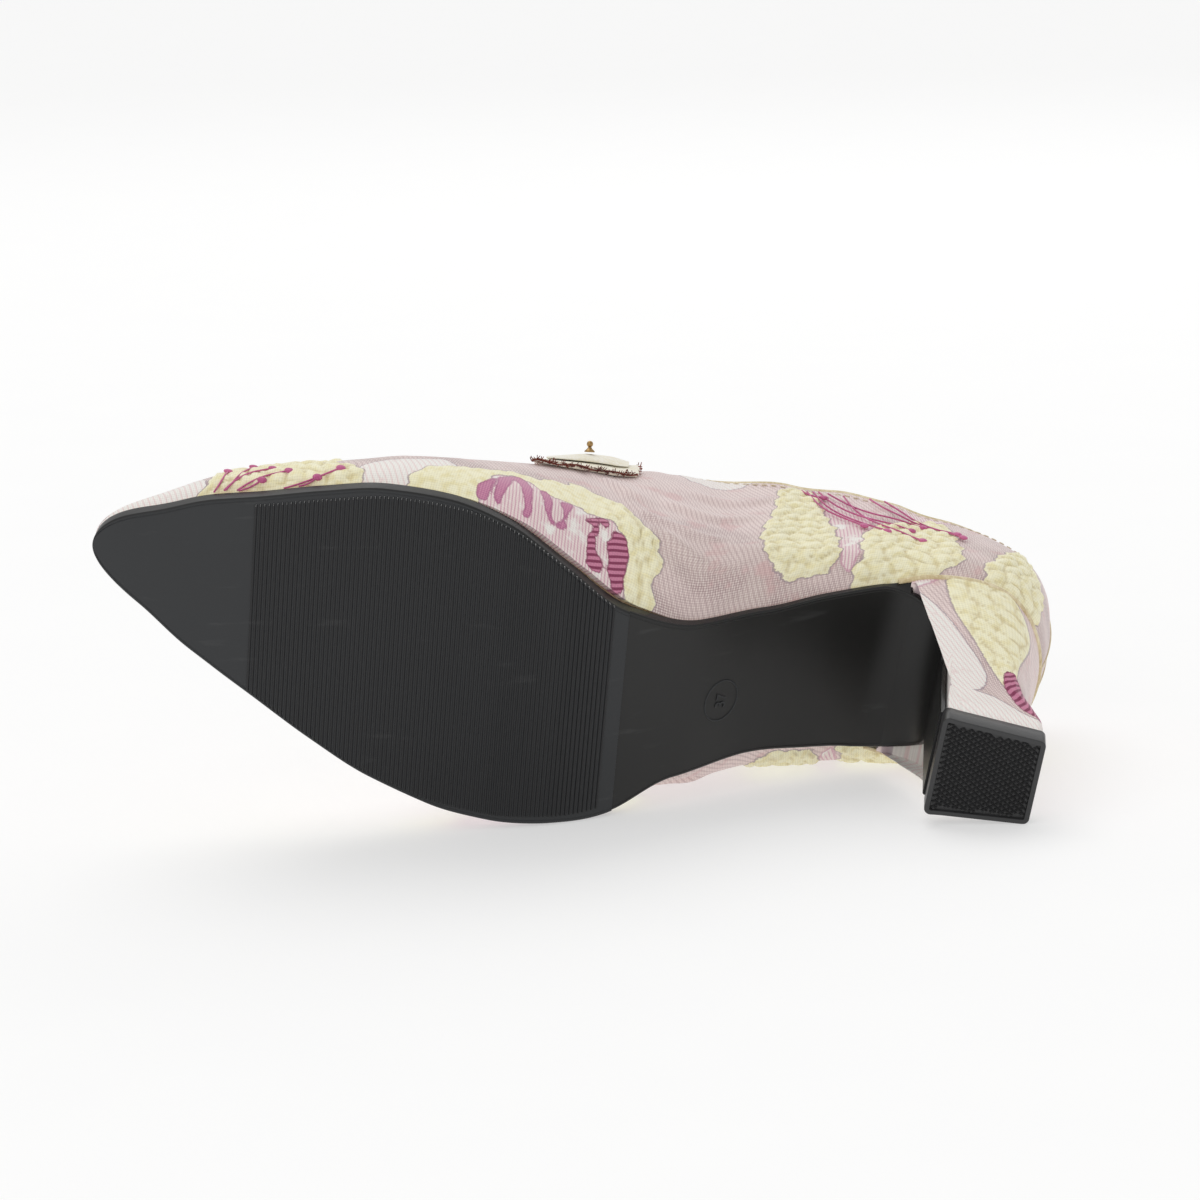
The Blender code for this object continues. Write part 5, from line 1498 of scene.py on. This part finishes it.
def ribbonHalf(across, reach):
    share = np.minimum(np.abs(across) / reach, 1.0)
    return 0.5 * bowLook["width"] * (bowLook["pinch"] + (1.0 - bowLook["pinch"]) * np.sin(0.5 * np.pi * share))


def makeBowTail():
    look = bowLook
    across, place = np.meshgrid(np.linspace(-1.0, 1.0, 130), np.linspace(-1.0, 1.0, 30), indexing="ij")
    reach = look["tailReach"] * across
    ragged = 0.00025 * np.sin(reach * 190.0) * np.abs(place) ** 8
    x = look["middle"] + ribbonHalf(reach, look["tailReach"]) * place + ragged * np.sign(place)
    frill = 0.0007 * np.abs(place) ** 3 * (0.55 + 0.45 * np.sin(reach * 46.0 + place * 2.0))
    pleat = 0.00012 * np.sin(place * 16.0) * np.exp(-(reach / 0.2) ** 2)
    low = shoe["gap"] + 0.85 * frill
    top = low + look["ribbon"] * (0.92 - 0.45 * np.abs(place) ** 6) + np.minimum(pleat, 0.0)
    closedSheet("bow_tail_cloth", vampPoint(x, reach, top), vampPoint(x, reach, low), bowCloth, "bow_cloth",
                "bow_tail")


def makeBowLoop(name, node, side):
    look = bowLook
    shells = []
    angles = np.linspace(0.0, 2.0 * np.pi, 72, endpoint=False)
    places = np.linspace(-1.0, 1.0, 34)
    base = 2.0 * shoe["gap"] + look["ribbon"]
    for inset in (0.0, 1.0):
        place, angle = np.meshgrid(places, angles, indexing="ij")
        out = 0.5 * (1.0 - np.cos(angle))
        swell = (look["loopRoot"] + (1.0 - look["loopRoot"]) * out) * np.sin(angle) * (1.0 - inset * look["loopWall"])
        out = 0.5 + (out - 0.5) * (1.0 - inset * look["loopEndWall"])
        across = look["loopStart"] + (look["loopReach"] - look["loopStart"]) * out
        height = 0.5 * look["loopHeight"] * (1.0 - (1.0 - look["loopMouth"]) * place ** 2)
        fold = 0.00022 * np.sin(place * 8.5 + 0.8 * side) * (1.0 - out) * np.maximum(np.sin(angle), 0.0)
        lift = base + height * (1.0 + swell - 0.8 * np.clip(out, 0.0, 1.0) ** 6) + fold
        x = look["middle"] + look["loopShare"] * ribbonHalf(across, look["loopReach"]) * place
        shells.append(vampPoint(x, side * across, lift))
    rows, columns = shells[0].shape[:2]
    count = rows * columns
    faces = gridFaces(rows, columns, wrap=True) + gridFaces(rows, columns, start=count, wrap=True, flip=True)
    for row in (0, rows - 1):
        for j in range(columns):
            k = (j + 1) % columns
            faces.append((row * columns + j, row * columns + k, count + row * columns + k, count + row * columns + j))
    points = laid(np.concatenate([shell.reshape(-1, 3) for shell in shells]))
    finish(newPiece(name, points, faces, [bowCloth], smoothAngle=60.0), "bow_cloth", node)


def makeBowKnot():
    look = bowLook
    reach = look["loopStart"] - look["knotGap"]
    across, place = np.meshgrid(np.linspace(-1.0, 1.0, 60), np.linspace(-1.0, 1.0, 26), indexing="ij")
    base = 2.0 * shoe["gap"] + look["ribbon"]
    arch = np.sqrt(np.maximum(1.0 - across ** 2, look["knotEdge"] ** 2))
    fold = 1.0 - 0.09 * (0.5 + 0.5 * np.cos(place * 11.0 + 1.5 * across))
    rounded = 0.55 + 0.45 * np.sqrt(np.maximum(1.0 - np.abs(place) ** 4, 0.0))
    top = base + look["knotHeight"] * arch * fold * rounded
    x = look["middle"] + 0.5 * look["knotWidth"] * place
    closedSheet("bow_knot_cloth", vampPoint(x, across * reach, top), vampPoint(x, across * reach, base), bowCloth,
                "bow_cloth", "bow_knot")


def makeFray():
    random.seed(7)
    look = bowLook
    lines = []
    for k in range(420):
        if k % 3 == 0:
            place = random.choice((-1.0, 1.0))
            reach = look["tailReach"] * random.uniform(-1.0, 1.0)
            dx, da = place * random.uniform(0.0002, 0.0009), random.uniform(-0.012, 0.012)
        else:
            place = random.uniform(-1.0, 1.0)
            end = random.choice((-1.0, 1.0))
            reach = look["tailReach"] * end
            dx, da = random.uniform(-0.0008, 0.0008), end * random.uniform(0.006, 0.015)
        x = look["middle"] + float(ribbonHalf(np.array(reach), look["tailReach"])) * place
        lift = shoe["gap"] + random.uniform(0.0002, 0.0011)
        rise = random.uniform(-0.0003, 0.0012)
        lines.append([vampPoint(x + dx * t, reach + da * t, max(lift + rise * t * t, 0.0002))
                      for t in (-0.3, 0.2, 0.6, 1.0)])
    fromTree("bow_frayed_threads", lineRail(lines), thread, {"Radius": 0.00010, "Sides": 4}, frayCloth, "bow_cloth")
    edges = []
    for end in (-1.0, 1.0):
        place = np.linspace(-1.0, 1.0, 60)
        reach = np.full(60, look["tailReach"] * end)
        x = look["middle"] + ribbonHalf(reach, look["tailReach"]) * place
        edges.append(vampPoint(x, reach, shoe["gap"] + 0.0007 + 0.0003 * np.sin(place * 9.0)))
    fromTree("bow_end_cords", lineRail(edges), thread, {"Radius": 0.00020, "Sides": 8}, frayCloth, "bow_cloth")


beadLook = {"capRadius": 0.0013, "capHeight": 0.0013, "radius": 0.0008, "out": 0.80, "neck": 0.25, "sink": 0.10,
            "sides": 36}


def makeBead():
    look = beadLook
    across = bowLook["loopStart"] + (bowLook["loopReach"] - bowLook["loopStart"]) * look["out"]
    angle = math.acos(1.0 - 2.0 * look["out"])
    swell = (bowLook["loopRoot"] + (1.0 - bowLook["loopRoot"]) * look["out"]) * math.sin(angle)
    lift = 3.0 * shoe["gap"] + bowLook["ribbon"] + 0.5 * bowLook["loopHeight"] * (1.0 + swell)
    low = vampPoint(bowLook["middle"], across, lift)
    high = vampPoint(bowLook["middle"], across, lift + look["capHeight"])
    outward = Vector(high - low).normalized()
    stand = np.array(outward.to_track_quat("Z", "Y").to_matrix())
    cap, ball = look["capRadius"], look["radius"]
    middle = look["capHeight"] + ball * (1.0 - look["sink"])
    profile = [(0.0, 0.0), (cap * 0.96, 0.0), (cap, 0.0001), (cap * 0.97, 0.0003), (cap * 0.72, 0.0006),
               (0.75 * ball, 0.0009), (0.5 * ball, look["capHeight"])]
    profile += [(ball * math.sin(t), middle - ball * math.cos(t))
                for t in np.linspace(look["neck"] * math.pi + 0.12, math.pi - 0.12, 14)]
    profile += [(0.0, middle + ball)]
    rows = []
    for turn in np.linspace(0.0, 2.0 * math.pi, look["sides"], endpoint=False):
        ring = np.array([(r * math.cos(turn), r * math.sin(turn), z) for r, z in profile])
        rows.append(low + ring @ stand.T)
    rows = np.array(rows)
    n, m = rows.shape[:2]
    faces = [(i * m + j, i * m + j + 1, ((i + 1) % n) * m + j + 1, ((i + 1) % n) * m + j)
             for i in range(n) for j in range(m - 1)]
    obj = newPiece("bow_brass_bead", laid(rows.reshape(-1, 3)), faces, [brass], smoothAngle=45.0)
    finish(obj, "bead_brass", "bow_bead")


makeBowTail()
makeBowLoop("bow_loop_medial_cloth", "bow_loop_medial", 1.0)
makeBowLoop("bow_loop_lateral_cloth", "bow_loop_lateral", -1.0)
makeBowKnot()
makeFray()
makeBead()
print("bow ready")

print("scene ready")
